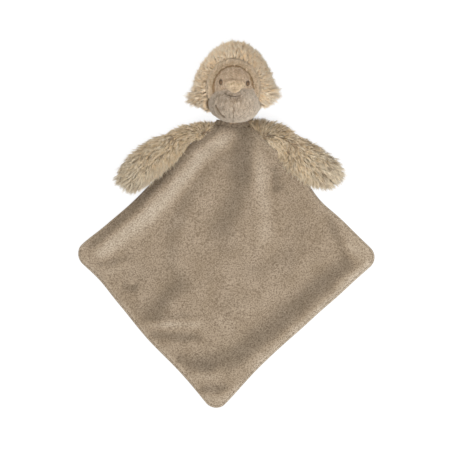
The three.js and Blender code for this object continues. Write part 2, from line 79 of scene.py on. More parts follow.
# Arms; pairs are for the left and the right
ARM_LENGTH = 0.082
ARM_RADIUS = 0.0155
ARM_ROOT_HALF_WIDTH = (0.0135, 0.0162)
ARM_ROOT_RADIUS = 0.007
ARM_ROOT_SWELL = 0.028
ARM_TIP_LENGTH = 0.020
ARM_ROOT_TURN = np.radians((214, -32))
ARM_TIP_TURN = np.radians((236, -42))


# Small helpers
def smooth(value, low, high):
    share = np.clip((value - low) / (high - low), 0, 1)
    return share * share * (3 - 2 * share)


def mix(first, second, share):
    return first + (second - first) * share


def unit(vectors):
    return vectors / np.maximum(np.linalg.norm(vectors, axis=-1, keepdims=True), 1e-12)


def bump_at(distance, width):
    return np.exp(-((distance / width) ** 2))


def turns(count):
    return np.linspace(0, 2 * math.pi, count, endpoint=False)


def stacked(*columns):
    return np.stack(columns, axis=-1)


def ripple(points, feature, seed):
    """Smooth noise from -1 to 1 at each point, with features of about that size."""
    moved = points / feature + np.array([seed * 13.7, seed * 5.3, seed * 9.1])
    values = [noise.noise(point) for point in moved.reshape(-1, 3).tolist()]
    return np.array(values).reshape(points.shape[:-1])


def rippled(start, points, layers):
    """Layers of smooth noise added to a start, each given as its height, its feature size and its seed."""
    for height, feature, seed in layers:
        start = start + height * ripple(points, feature, seed)
    return start


def flat_points(x, y):
    return stacked(x, y, np.zeros_like(x))


def grid_quads(rows, columns, closed=False):
    """Faces over a grid of points, row by row; a closed grid joins its last column to its first."""
    across = columns if closed else columns + 1
    row, column = np.meshgrid(np.arange(rows), np.arange(columns), indexing="ij")
    right = (column + 1) % across
    quads = stacked(row * across + column, row * across + right,
                    (row + 1) * across + right, (row + 1) * across + column)
    return quads.reshape(-1, 4)


def add_object(name, data):
    made = bpy.data.objects.new(name, data)
    bpy.context.scene.collection.objects.link(made)
    return made


def mesh_object(name, points, faces, uv=None):
    """A smooth-shaded mesh of one or more arrays of faces."""
    mesh = bpy.data.meshes.new(name)
    sizes = np.concatenate([np.full(len(group), group.shape[1]) for group in faces])
    corners = np.concatenate([group.ravel() for group in faces])
    mesh.vertices.add(len(points))
    mesh.vertices.foreach_set("co", points.astype(np.float32).ravel())
    mesh.loops.add(len(corners))
    mesh.loops.foreach_set("vertex_index", corners.astype(np.int32))
    mesh.polygons.add(len(sizes))
    starts = np.concatenate([[0], np.cumsum(sizes)[:-1]])
    mesh.polygons.foreach_set("loop_start", starts.astype(np.int32))
    mesh.polygons.foreach_set("use_smooth", np.ones(len(sizes), bool))
    if uv is not None:
        layer = mesh.uv_layers.new(name="OFBake")
        layer.data.foreach_set("uv", uv.astype(np.float32).ravel())
    mesh.update(calc_edges=True)
    return add_object(name, mesh)


def places_of(piece):
    places = np.empty(len(piece.data.vertices) * 3, np.float32)
    piece.data.vertices.foreach_get("co", places)
    return places.reshape(-1, 3).astype(float)


def set_painted_light(piece, values):
    """Store the painted light and shade at each point: above nought the pile is painted lighter, below it
    darker.
    """
    attribute = piece.data.attributes.new("painted_light", "FLOAT", "POINT")
    attribute.data.foreach_set("value", values.astype(np.float32))


def dress(piece, material, nodes, body=None):
    """Give a piece its material, hide the solids that it stands for, and attach it to what carries it."""
    piece.data.materials.append(MATERIALS[material])
    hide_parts(*nodes)
    if body:
        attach(piece, body)
    return piece


# Camera, stage and light
WHITE = (1, 1, 1, 1)
CAMERA_HEIGHT = 1.5
FLOOR_REACH = 4.0
FLOOR_Z = -0.0002
LAMP_AIM = (0.0, 0.05, 0.0)
WORLD_STRENGTH = 0.58
# Each lamp's name, place, size and power
LAMPS = (("key", (0.34, -0.32, 1.14), 0.6, 12.0), ("fill", (-0.6, 0.7, 1.0), 0.9, 6.5))


def node(tree, kind, values=None, **settings):
    """A new shader node. A value that is another node's output is linked, and any other is set."""
    made = tree.nodes.new(kind)
    for key, value in settings.items():
        setattr(made, key, value)
    for key, value in (values or {}).items():
        if isinstance(value, bpy.types.NodeSocket):
            tree.links.new(value, made.inputs[key])
        else:
            made.inputs[key].default_value = value
    return made


def emptied_tree(data):
    data.use_nodes = True
    data.node_tree.nodes.clear()
    return data.node_tree


def white_to_camera(tree, out_kind, paint, white, share):
    """The paint answers to the light, and by a share the camera sees white in its place."""
    camera_ray = node(tree, "ShaderNodeLightPath").outputs["Is Camera Ray"]
    seen = node(tree, "ShaderNodeMath", {0: camera_ray, 1: share}, operation="MULTIPLY").outputs[0]
    blend = node(tree, "ShaderNodeMixShader", {0: seen, 1: paint.outputs[0], 2: white.outputs[0]})
    node(tree, out_kind, {"Surface": blend.outputs[0]})


def make_camera():
    data = bpy.data.cameras.new("camera")
    data.type = "ORTHO"
    data.ortho_scale = VIEW_WIDTH
    camera = add_object("camera", data)
    camera.location = (*VIEW_MIDDLE, CAMERA_HEIGHT)
    camera.rotation_euler = (0, 0, VIEW_ROLL)
    bpy.context.scene.camera = camera


def make_floor():
    corners = np.array([[-1, -1, 0], [1, -1, 0], [1, 1, 0], [-1, 1, 0]]) * FLOOR_REACH + [0, 0, FLOOR_Z]
    floor = mesh_object("floor", corners, [np.array([[0, 1, 2, 3]])])
    material = bpy.data.materials.new("floor_white")
    tree = emptied_tree(material)
    paint = node(tree, "ShaderNodeBsdfDiffuse", {"Color": (0.93, 0.93, 0.93, 1)})
    white = node(tree, "ShaderNodeEmission", {"Color": WHITE, "Strength": 1.05})
    white_to_camera(tree, "ShaderNodeOutputMaterial", paint, white, 0.86)
    floor.data.materials.append(material)


def make_world(strength):
    world = bpy.data.worlds.new("studio")
    bpy.context.scene.world = world
    tree = emptied_tree(world)
    light = node(tree, "ShaderNodeBackground", {"Color": (1.0, 0.995, 0.985, 1), "Strength": strength})
    white = node(tree, "ShaderNodeBackground", {"Color": WHITE, "Strength": 1.0})
    white_to_camera(tree, "ShaderNodeOutputWorld", light, white, 1.0)


def make_lamp(name, place, size, power):
    data = bpy.data.lights.new(name, "AREA")
    data.shape = "DISK"
    data.size = size
    data.energy = power
    lamp = add_object(name, data)
    lamp.location = place
    aim = Vector(LAMP_AIM) - Vector(place)
    lamp.rotation_euler = aim.to_track_quat("-Z", "Y").to_euler()


# Materials
# How much the painted light and shade brighten or darken the pile, and the cool tint of its painted
# highlights
PAINTED_LIGHT_STRENGTH = 0.33
PAINTED_HIGHLIGHT_TINT = (0.95, 1.02, 1.11, 1)
GRAIN = 0.0016
GRAIN_DEPTH = 0.0008
THREAD_STRAND = 0.0004
THREAD_DEPTH = 0.0002


def linear(colour):
    """A screen colour, given as red, green and blue from 0 to 255, as the renderer takes it."""
    shares = np.array(colour) / 255
    made = np.where(shares <= 0.04045, shares / 12.92, ((shares + 0.055) / 1.055) ** 2.4)
    return (*made.tolist(), 1.0)


def new_material(name, roughness, sheen, sheen_tint, specular):
    material = bpy.data.materials.new(name)
    material.use_nodes = True
    shader = material.node_tree.nodes["Principled BSDF"]
    plain = {"Roughness": roughness, "Sheen Weight": sheen, "Sheen Roughness": 0.5, "Sheen Tint": sheen_tint,
             "Specular IOR Level": specular}
    for key, value in plain.items():
        shader.inputs[key].default_value = value
    return material, material.node_tree, shader


def noised(tree, feature, detail=2.0, roughness=0.5):
    places = node(tree, "ShaderNodeTexCoord").outputs["Object"]
    values = {"Vector": places, "Scale": 1 / feature, "Detail": detail, "Roughness": roughness}
    return node(tree, "ShaderNodeTexNoise", values).outputs["Fac"]


def ranged(tree, value, low, high, to_low=0.0, to_high=1.0, clamp=True):
    values = {"Value": value, "From Min": low, "From Max": high, "To Min": to_low, "To Max": to_high}
    return node(tree, "ShaderNodeMapRange", values, clamp=clamp).outputs[0]


def mixed(tree, share, first, second):
    return node(tree, "ShaderNodeMix", {0: share, 6: first, 7: second}, data_type="RGBA").outputs[2]


def finish_material(tree, shader, colour, height=None, strength=0.0, depth=0.0):
    tree.links.new(colour, shader.inputs["Base Color"])
    if height:
        bump = node(tree, "ShaderNodeBump", {"Height": height, "Strength": strength, "Distance": depth})
        tree.links.new(bump.outputs[0], shader.inputs["Normal"])


def velour(name, colour, light, dark, patch):
    """Short brushed pile: patches where it lies another way, fine grain, a soft sheen, and painted light and
    shade.
    """
    material, tree, shader = new_material(name, 0.95, 0.25, light, 0.15)
    grains = noised(tree, GRAIN, 2.0, 0.6)
    lighter = tuple(mix(np.array(colour), np.array(light), 0.45).tolist())
    patches = mixed(tree, ranged(tree, noised(tree, patch, 3.0), 0.3, 0.7), colour, lighter)
    speckled = mixed(tree, ranged(tree, grains, 0.34, 0.60, 0.75, 0.0), patches, dark)
    # The painted light and shade stored at each point scale the colour, and painted highlights turn cooler
    painted_light = node(tree, "ShaderNodeAttribute", attribute_name="painted_light").outputs["Fac"]
    shade = ranged(tree, painted_light, -1, 1, 1 - PAINTED_LIGHT_STRENGTH, 1 + PAINTED_LIGHT_STRENGTH, clamp=False)
    shaded = node(tree, "ShaderNodeVectorMath", {0: speckled, "Scale": shade}, operation="SCALE").outputs[0]
    tint = mixed(tree, ranged(tree, painted_light, 0, 1.8), WHITE, PAINTED_HIGHLIGHT_TINT)
    tinted = node(tree, "ShaderNodeVectorMath", {0: shaded, 1: tint}, operation="MULTIPLY").outputs[0]
    finish_material(tree, shader, tinted, grains, 0.9, GRAIN_DEPTH)
    return material


def strand_fur(name, root, warm, pale, tip):
    """Pile of strands. Along v a strand runs from its shaded root to its pale tip, a painted highlight, and u
    is its own tone.
    """
    material, tree, shader = new_material(name, 0.85, 0.2, tip, 0.2)
    uv = node(tree, "ShaderNodeUVMap", uv_map="OFBake").outputs[0]
    split = node(tree, "ShaderNodeSeparateXYZ", {0: uv})
    toned = mixed(tree, split.outputs[0], warm, pale)
    tipped = mixed(tree, ranged(tree, split.outputs[1], 0.55, 1.0, 0.0, 0.55), toned, tip)
    rooted = mixed(tree, ranged(tree, split.outputs[1], 0.0, 0.55, 0.85, 0.0), tipped, root)
    finish_material(tree, shader, rooted)
    return material


def thread(name, colour, dark):
    material, tree, shader = new_material(name, 0.55, 0.1, colour, 0.4)
    plies = noised(tree, THREAD_STRAND)
    finish_material(tree, shader, mixed(tree, plies, dark, colour), plies, 0.4, THREAD_DEPTH)
    return material


# The size of a velour's patches, then screen colours: its own, its paler patches where the pile lies another
# way, and between the fibres
VELOURS = {
    "cloth_velour": (0.022, (143, 127, 107), (174, 158, 139), (92, 77, 61)),
    "back_velour": (0.022, (142, 127, 107), (166, 150, 131), (112, 97, 79)),
    "face_velour": (0.010, (158, 136, 111), (178, 158, 133), (112, 92, 72)),
    "muzzle_velour": (0.012, (152, 134, 113), (176, 158, 137), (108, 91, 74)),
    "bridge_velour": (0.008, (166, 145, 114), (184, 165, 135), (132, 110, 83)),
    "roll_velour": (0.008, (160, 139, 111), (182, 162, 134), (122, 101, 77)),
    # The backing under the fur is dark: painted shade for the depth between the strands
    "hood_backing": (0.006, (136, 112, 84), (150, 126, 96), (108, 86, 62)),
}
# The screen colours of strands: at the root, darker as painted shade, the warmest, the palest, and at the
# tip, paler as a painted highlight
FURS = {
    "hood_fur": ((152, 126, 94), (246, 216, 174), (252, 238, 216), (255, 248, 230)),
    "arm_fur": ((122, 99, 74), (221, 195, 156), (237, 224, 200), (248, 237, 216)),
    "muzzle_pile": ((118, 101, 84), (217, 198, 176), (238, 225, 207), (248, 237, 221)),
    "face_pile": ((118, 97, 77), (227, 203, 175), (240, 222, 199), (242, 228, 207)),
    "roll_pile": ((140, 116, 90), (232, 207, 174), (244, 227, 202), (252, 238, 218)),
    "bridge_pile": ((150, 125, 96), (241, 218, 186), (249, 233, 208), (255, 244, 224)),
}
# The screen colours of a thread and of the dark between its strands
THREADS = {
    "eye_thread": ((84, 62, 42), (48, 35, 24)),
    "eye_rim": ((138, 106, 74), (104, 78, 52)),
    "stitch_thread": ((138, 117, 95), (112, 92, 72)),
}
MATERIALS = {name: velour(name, *map(linear, colours), patch) for name, (patch, *colours) in VELOURS.items()}
MATERIALS |= {name: strand_fur(name, *map(linear, colours)) for name, colours in FURS.items()}
MATERIALS |= {name: thread(name, *map(linear, colours)) for name, colours in THREADS.items()}


# Closed forms: a pole, loops of points, and another pole
def swept_volume(points, triangles):
    first, second, third = np.moveaxis(points[triangles], 1, 0)
    return np.sum(np.cross(first, second) * third)


def closed_form(name, first, loops, last):
    """One closed surface through the loops, turned right side out."""
    rows, around = loops.shape[:2]
    points = np.concatenate([[first], loops.reshape(-1, 3), [last]])
    step = np.arange(around)
    ahead = (step + 1) % around
    start, end = np.zeros(around, int), np.full(around, len(points) - 1)
    caps = np.concatenate([stacked(start, 1 + step, 1 + ahead),
                           stacked(end, end - around + ahead, end - around + step)])
    quads = grid_quads(rows - 1, around, closed=True) + 1
    volume = swept_volume(points, quads[:, :3]) + swept_volume(points, quads[:, [0, 2, 3]])
    if volume < swept_volume(points, caps):
        quads = quads[:, ::-1]
    else:
        caps = caps[:, ::-1]
    return mesh_object(name, points, [quads, caps])


def ball(name, shape, rows=64, around=128):
    """A ball whose points shape(directions) gives."""
    turn = np.linspace(0, math.pi, rows + 2)[1:-1, None]
    angle = turns(around)[None, :]
    directions = stacked(np.sin(turn) * np.cos(angle), np.sin(turn) * np.sin(angle),
                         np.cos(turn) * np.ones_like(angle))
    front, back = shape(np.array([[[0.0, 0.0, 1.0]], [[0.0, 0.0, -1.0]]])).reshape(2, 3)
    return closed_form(name, front, shape(directions), back)


def pad(name, centre, outline, height, base, rings=28, around=120):
    """A sewn pad over an outline given as a radius for each angle."""
    angle = turns(around)[None, :]
    shares = np.sin(np.linspace(0, math.pi / 2, rings + 1))[1:, None]
    x = centre[0] + shares * outline(angle) * np.cos(angle)
    y = centre[1] + shares * outline(angle) * np.sin(angle)
    top = stacked(x, y, height(x, y, shares * np.ones_like(angle)))
    under = stacked(x, y, base(x, y))[::-1]
    middle = np.array([[centre[0]]]), np.array([[centre[1]]])
    first = np.array([*centre, float(height(*middle, np.zeros((1, 1)))[0, 0])])
    last = np.array([*centre, float(base(*middle)[0, 0])])
    return closed_form(name, first, np.concatenate([top, under]), last)


def loops_round(line, size, side, up, around):
    """A loop round each point of a line, with its half axes along side and up."""
    angle = turns(around)[None, :, None]
    return line[:, None] + size[:, None, None] * (np.cos(angle) * side[:, None] + np.sin(angle) * up[:, None])


def tube(name, line, radius, around=10):
    """A round thread along a line of points, with rounded ends."""
    ahead = unit(np.gradient(line, axis=0))
    side = unit(np.cross(ahead, [0.13, 0.21, 0.97]))
    swell = radius * np.sqrt(1 - np.abs(2 * np.linspace(0, 1, len(line)) - 1) ** 10 * 0.96)
    loops = loops_round(line, swell, side, np.cross(side, ahead), around)
    return closed_form(name, line[0] - ahead[0] * radius * 0.5, loops, line[-1] + ahead[-1] * radius * 0.5)


# Fur and pile: meshes of tapered strands
STRAND_SIDES = ((0, 1), (1, 2), (2, 0))
STRAND_UV = (-0.003, 0.0, 0.003)
STRAND_FOOT = 0.02
ROOT_DEPTH = 0.0003
FUR_THICKNESS = 0.00016
PILE_THICKNESS = 0.00014
PILE_TUFT = 0.0026
PILE_PATCH = 0.006
PILE_GRAIN = 0.0020
TONE_PATCH = 0.03
STRAND_STRAY = 0.0008
# Shares between which strands and clumps differ: how far a strand reaches, how big a clump is, and how hard
# it pulls; a strand's middle follows that pull by a lesser share.
REACH_SHARES = (0.7, 1.15)
CLUMP_SHARES = (0.78, 1.18)
PULL_SHARES = (0.6, 1.15)
MIDDLE_PULL_SHARE = 0.4
MIDDLE_THICKNESS_SHARE = 0.9
TIP_RISE_SHARE = 0.15
# Tone: how far clumps and strands differ, and the limits that keep it inside the map
CLUMP_TINT = 0.28
FUR_TINT = 0.12
PILE_TINT = 0.16
TONE_LIMITS = (0.01, 0.99)
# How pale tips get along a strand, and how much of that some lack
FUR_TIP = (0.98, 0.35)
PILE_TIP = (0.80, 0.30)
PILE_TIP_LIMITS = (0.12, 0.98)
# How short pile lies: how much it follows its flow, its tufts and chance
PILE_WAYS = (0.7, 1.3, 0.22)
TABLE_CLEARANCE = (0.0005, 0.0008)
TOP_STRANDS = 19900
UNDER_STRANDS = 13000
# How a coat of fur lies: roots to a clump, how steeply strands rise, how far clumps stray, how hard they pull
HOOD_COAT = {"per_clump": 18, "lift": 0.62, "swirl": 0.27, "pull": 0.92}
ARM_COAT = {"per_clump": 9, "lift": 0.44, "swirl": 0.24, "pull": 0.66}


def strand_ring(ahead, aside, thickness):
    """Three corners round each strand that runs ahead."""
    side = unit(np.cross(ahead, aside))
    up = np.cross(ahead, side)
    angles = [corner * 2 * math.pi / 3 for corner in range(3)]
    return np.stack([(side * math.cos(angle) + up * math.sin(angle)) * thickness for angle in angles], axis=1)


def strands(name, rings, tips, tone, alongs):
    """A mesh of strands, each with one or two rings of three corners and a tip. In the UV map tone runs
    across, and alongs says how far up the strand each ring and the tip lie."""
    points = np.concatenate([*rings, tips[:, None]], axis=1)
    count, size = points.shape[:2]
    top = size - 4
    patterns = [[corner, after, top + after, top + corner] for corner, after in STRAND_SIDES] if top else []
    patterns += [[top + corner, top + after, size - 1] for corner, after in STRAND_SIDES]
    across = [*STRAND_UV * len(rings), 0]
    uv = []
    for pattern in patterns:
        uv.append(strand_uv(tone, [(across[corner], alongs[corner // 3]) for corner in pattern]))
    uv.append(strand_uv(tone, [(STRAND_UV[0], 0.0), (STRAND_UV[2], 0.01), (STRAND_UV[1], 0.0)]))
    base = (np.arange(count) * size)[:, None]
    faces = [base + pattern for pattern in [*patterns, [0, 2, 1]]]
    return mesh_object(name, points.reshape(-1, 3), faces, np.concatenate(uv))


def strand_uv(tone, corners):
    made = [stacked(tone + across, along * np.ones(len(tone))) for across, along in corners]
    return np.stack(made, axis=1).reshape(-1, 2)


def nearest(points, centres):
    tree = kdtree.KDTree(len(centres))
    for index, centre in enumerate(centres.tolist()):
        tree.insert(centre, index)
    tree.balance()
    return np.array([tree.find(point)[1] for point in points.tolist()])


def fur(name, seed, shadow, coat, roots, normals, flows, lengths, tones):
    """Long pile on a skin. Each strand rises from its root, bends along its flow and leans to its clump's
    tip. Shadow says how much darker the deepest clumps look."""
    random = np.random.default_rng(seed)
    count = len(roots)
    chosen = random.choice(count, max(count // coat["per_clump"], 1), replace=False)
    clump = nearest(roots, roots[chosen])
    lean = random.normal(size=(len(chosen), 3)) * coat["swirl"]
    size = random.uniform(*CLUMP_SHARES, len(chosen))
    tint = random.normal(size=len(chosen)) * CLUMP_TINT
    depth = shadow[chosen] * random.uniform(size=len(chosen)) ** 2

    def bent(index):
        way = unit(flows[index] + lean[clump[index]] + normals[index] * TIP_RISE_SHARE)
        rise = unit(normals[index] * coat["lift"] + way)
        reach = (lengths[index] * size[clump[index]])[:, None]
        middle = roots[index] + rise * reach * 0.5
        return middle, middle + way * reach * 0.5

    middle, tip = bent(np.arange(count))
    clump_middle, clump_tip = bent(chosen)
    hold = (coat["pull"] * random.uniform(*PULL_SHARES, count))[:, None]
    middle = mix(middle, clump_middle[clump], MIDDLE_PULL_SHARE * hold)
    tip = mix(tip, clump_tip[clump], np.minimum(hold, 1)) + random.normal(size=(count, 3)) * STRAND_STRAY
    tip = middle + (tip - middle) * random.uniform(*REACH_SHARES, count)[:, None]
    clear = TABLE_CLEARANCE[0] + random.uniform(0, TABLE_CLEARANCE[1], count)
    middle[:, 2] = np.maximum(middle[:, 2], clear)
    tip[:, 2] = np.maximum(tip[:, 2], clear)

    ahead = unit(middle - roots)
    ring = strand_ring(ahead, random.normal(size=(count, 3)), FUR_THICKNESS)
    tone = np.clip(tones + tint[clump] + random.normal(size=count) * FUR_TINT, *TONE_LIMITS)
    far = FUR_TIP[0] - depth[clump] - FUR_TIP[1] * random.uniform(size=count) ** 2
    rings = [(roots - ahead * ROOT_DEPTH)[:, None] + ring, middle[:, None] + ring * MIDDLE_THICKNESS_SHARE]
    return strands(name, rings, tip, tone, (STRAND_FOOT, far / 2, far))


def pile(name, roots, normals, flows, length, seed, painted_light_shift):
    """Short plush on a skin. Each strand is a tapered spike, and neighbours lean together in small tufts."""
    random = np.random.default_rng(seed)
    count = len(roots)
    rows = roots * [1, 0.5, 1]
    leaning = np.stack([ripple(rows, PILE_TUFT, seed + axis) for axis in range(3)], axis=-1)
    along, tufted, chance = PILE_WAYS
    way = unit(normals + flows * along + leaning * tufted + random.normal(size=(count, 3)) * chance)
    high = ripple(rows, PILE_TUFT, seed + 5)
    reach = length * random.uniform(*REACH_SHARES, count) * (1 + 0.45 * high)
    ring = strand_ring(way, random.normal(size=(count, 3)), PILE_THICKNESS)
    # The shift paints light or shade into the strands' tone and tips
    tone = 0.5 + 0.3 * ripple(roots, PILE_PATCH, seed + 7) + 0.35 * ripple(rows, PILE_GRAIN, seed + 8) + painted_light_shift
    tone = np.clip(tone + random.normal(size=count) * PILE_TINT, *TONE_LIMITS)
    far = PILE_TIP[0] + 0.4 * high - PILE_TIP[1] * random.uniform(size=count) ** 2
    far = np.clip(far + painted_light_shift, *PILE_TIP_LIMITS)
    root_ring = (roots - normals * ROOT_DEPTH)[:, None] + ring
    return strands(name, [root_ring], roots + way * reach[:, None], tone, (STRAND_FOOT, far))


def scatter(piece, count, random):
    """Random places spread evenly over a piece, and which way is out at each."""
    mesh = piece.data
    mesh.calc_loop_triangles()
    corners = np.empty(len(mesh.loop_triangles) * 3, np.int32)
    mesh.loop_triangles.foreach_get("vertices", corners)
    first, second, third = np.moveaxis(places_of(piece)[corners.reshape(-1, 3)], 1, 0)
    square = np.cross(second - first, third - first)
    area = np.linalg.norm(square, axis=1)
    chosen = random.choice(len(area), count, p=area / area.sum())
    u, v = random.uniform(size=(2, count, 1))
    u, v = np.where(u + v > 1, 1 - u, u), np.where(u + v > 1, 1 - v, v)
    points = first[chosen] + u * (second - first)[chosen] + v * (third - first)[chosen]
    return points, unit(square[chosen])


# Blanket: a flat cut turned onto its corner, drawn together at the neck
LENGTHWAY = np.array([math.cos(CLOTH_ANGLE), math.sin(CLOTH_ANGLE)])
WIDTHWAY = LENGTHWAY * [1, -1]
TOP_CORNER = LENGTHWAY * CLOTH_LENGTH / 2 - WIDTHWAY * CLOTH_WIDTH / 2
HALF_ACROSS = (CLOTH_LENGTH + CLOTH_WIDTH) / 2 * LENGTHWAY[0]
HALF_UP = (CLOTH_LENGTH + CLOTH_WIDTH) / 2 * LENGTHWAY[1]
RIM = CLOTH_THICKNESS
RIM_ROWS = 5
CELL_CROWDING = 1.3
FRONT_CELLS = 200
BACK_CELLS = 110
WAVE_SIZE = 0.045
WAVE_DEPTH = 0.0011
PLEAT_HEIGHT = 0.0007
FLAT_EDGE = 0.011
LOFT = 0.0008
# The roll that the seam allowance makes inside the edge, and the puckers across it
EDGE_ROLL_HEIGHT = 0.0009
EDGE_ROLL_INSET = 0.005
EDGE_ROLL_WIDTH = 0.0045
PUCKER_HEIGHT = 0.00035
PUCKER_SIZE = 0.007
PUCKER_REACH = 0.012
# Small unevenness, each row a height, a feature size and a seed
EDGE_ROLL_UNEVEN = ((0.6, 0.03, 3),)
SLACK = ((0.0011, 0.034, 5), (0.0005, 0.014, 6))
TUFTING = ((0.00016, 0.0024, 8),)

# Painted light and shade on the cloth: the way towards the light, so that slopes turned to it are painted
# lighter, how strongly slopes and a painted highlight along the rim show, and its unevenness
TOWARDS_LIGHT = np.array([0.75, -0.66])
SLOPE_LIGHT_STRENGTH = 1.9
SLOPE_STEP = 0.001
RIM_HIGHLIGHT = 0.8
RIM_HIGHLIGHT_WIDTH = 0.0035
NAP_PATCHES = ((0.18, 0.03, 71), (0.12, 0.009, 72))
PAINTED_LIGHT_LIMIT = 2.2
PAINTED_SHADE_LIMIT = 1.25

# Where the edge of the laid cloth is pushed or pulled: the place as shares of the cloth's half diagonals, how
# far that reaches, and which way the edge has moved.
EDGE_SHIFTS = [
    ((0.97, 0.02), 0.042, (0.0044, 0.0002)),
    ((0.75, -0.25), 0.035, (0.0012, -0.0012)),
    ((0.02, -0.97), 0.038, (0.0046, -0.0020)),
    ((-0.20, -0.80), 0.026, (0.0014, 0.0014)),
    ((-0.82, -0.19), 0.030, (0.0030, 0.0026)),
    ((-0.96, 0.05), 0.022, (-0.0026, 0.0022)),
    ((-0.63, 0.33), 0.024, (0.0012, -0.0012)),
    ((0.63, 0.39), 0.026, (-0.0032, -0.0030)),
    ((-0.38, 0.62), 0.018, (-0.0042, 0.0042)),
    ((-0.33, -0.72), 0.032, (0.0012, 0.0012)),
    ((-0.63, -0.37), 0.022, (0.0010, 0.0010)),
]

# Each fold's height and its width on the left and right of its run, as shares of the usual fold; a height
# below nought is a valley. Then the places it runs through, as shares of the cloth's half diagonals.
FOLD_SHARES = [
    (0.66, 0.95, 1.50,
     [(-0.05, 0.86), (-0.25, 0.67), (-0.40, 0.46), (-0.56, 0.26), (-0.72, 0.13), (-0.87, 0.02)]),
    (-0.46, 1.00, 1.10, [(0.08, 0.84), (0.08, 0.53), (0.04, 0.38), (-0.01, 0.18)]),
    (0.20, 1.10, 1.10, [(-0.10, 0.62), (-0.30, 0.20)]),
    (0.36, 0.80, 0.90, [(0.18, 0.68), (0.20, 0.47), (0.21, 0.28), (0.24, 0.12)]),
    (0.16, 0.90, 0.80, [(0.34, 0.56), (0.62, 0.26)]),
    (-0.26, 0.50, 0.50, [(0.29, 0.55), (0.32, 0.44)]),
    (0.50, 0.80, 1.40, [(0.90, -0.06), (0.67, -0.23), (0.46, -0.40), (0.27, -0.57), (0.08, -0.76)]),
    (0.30, 0.50, 0.55, [(-0.49, -0.43), (-0.32, -0.42), (-0.14, -0.43)]),
    (0.24, 0.50, 0.60, [(-0.45, -0.56), (-0.30, -0.56), (-0.14, -0.57)]),
    (0.30, 1.00, 0.90, [(-0.27, -0.22), (-0.43, -0.41)]),
    (-0.26, 0.50, 0.50, [(-0.68, -0.18), (-0.58, -0.24)]),
    (0.26, 0.60, 0.70, [(-0.22, -0.73), (0.02, -0.735)]),
    (0.22, 0.50, 0.50, [(-0.10, -0.89), (0.06, -0.885)]),
    (0.24, 0.50, 0.50, [(-0.84, -0.10), (-0.66, -0.09)]),
    (0.26, 0.60, 0.60, [(0.71, 0.27), (0.79, 0.14), (0.84, 0.02)]),
    (0.20, 1.60, 1.60, [(-0.02, 0.10), (0.32, -0.28)]),
    (0.18, 1.20, 1.20, [(0.56, 0.10), (0.44, -0.20)]),
    (0.16, 1.20, 1.20, [(-0.36, 0.06), (-0.10, -0.30)]),
]

# Strokes of painted light and shade, lighter on lit slopes, darker in valleys and shadows: the half width as
# a share of a fold's width, how much lighter it is painted, and the places it runs through, as shares of the
# cloth's half diagonals.
PAINTED_LIGHT_STROKES = [
    (0.76, 1.60,
     [(-0.002, 0.784), (-0.19, 0.617), (-0.35, 0.417), (-0.52, 0.222), (-0.69, 0.094), (-0.81, -0.01)]),
    (0.78, -1.05,
     [(-0.09, 0.83), (-0.27, 0.68), (-0.42, 0.50), (-0.58, 0.345), (-0.745, 0.165), (-0.86, 0.05)]),
    (1.05, -1.50, [(0.06, 0.84), (0.07, 0.69), (0.06, 0.53)]),
    (1.05, -0.85, [(0.02, 0.40), (-0.03, 0.19)]),
    (1.10, -0.45, [(-0.09, 0.65), (-0.25, 0.39), (-0.32, 0.22)]),
    (0.85, 1.00, [(0.19, 0.68), (0.215, 0.47)]),
    (0.95, 0.45, [(0.22, 0.34), (0.25, 0.12)]),
    (0.42, -0.65, [(0.30, 0.57), (0.31, 0.45)]),
    (0.42, -0.70, [(0.37, 0.66), (0.46, 0.55)]),
    (1.10, -0.35, [(0.24, -0.07), (0.37, -0.01)]),
    (0.45, -0.45, [(0.67, 0.28), (0.75, 0.14), (0.80, 0.02)]),
    (0.90, 0.75, [(0.84, 0.11), (0.93, 0.05)]),
    (1.00, -1.00,
     [(0.81, -0.03), (0.64, -0.155), (0.465, -0.335), (0.31, -0.49), (0.115, -0.63), (-0.10, -0.70)]),
    (0.80, 2.10, [(0.97, -0.04), (0.80, -0.155)]),
    (0.42, 0.50, [(0.71, -0.25), (0.46, -0.49), (0.24, -0.72), (0.08, -0.92)]),
    (0.50, -0.65, [(-0.26, -0.67), (-0.06, -0.71)]),
    (0.34, 0.50, [(-0.17, -0.78), (0.01, -0.77)]),
    (0.36, -0.80, [(-0.11, -0.86), (0.04, -0.84)]),
    (0.60, 0.60, [(-0.08, -0.93), (0.02, -0.93)]),
    (1.10, -0.75, [(-0.285, -0.20), (-0.365, -0.31), (-0.465, -0.40)]),
    (0.30, 0.80, [(-0.48, -0.46), (-0.32, -0.45), (-0.16, -0.45)]),
    (0.34, -0.75, [(-0.44, -0.52), (-0.30, -0.52), (-0.14, -0.53)]),
    (0.40, -0.55, [(-0.68, -0.19), (-0.58, -0.23)]),
    (0.70, -0.30, [(-0.35, 0.17), (-0.36, -0.07)]),
    (0.50, -0.35, [(-0.82, -0.07), (-0.64, -0.04)]),
    (1.20, -1.00, [(-0.03, 0.87), (0.07, 0.87)]),
]


def near_neck(y):
    return smooth(y, NECK_SEAM_Y - 2 * NECK_SPREAD, NECK_SEAM_Y) ** 2


def flat_half_width(y):
    return (TOP_CORNER[1] - y) * LENGTHWAY[0] / LENGTHWAY[1]


def cloth_span(y):
    """The middle of the gathered cloth and half its width, level with y."""
    near = near_neck(y)
    drawn = mix(1, GATHER_HALF_WIDTH / flat_half_width(NECK_SEAM_Y), near ** GATHER_FALLOFF)
    return mix(TOP_CORNER[0], NECK_CENTRE[0], near), flat_half_width(y) * drawn


def gathered(x, y):
    middle, half_width = cloth_span(y)
    return middle + (x - TOP_CORNER[0]) * half_width / flat_half_width(y)


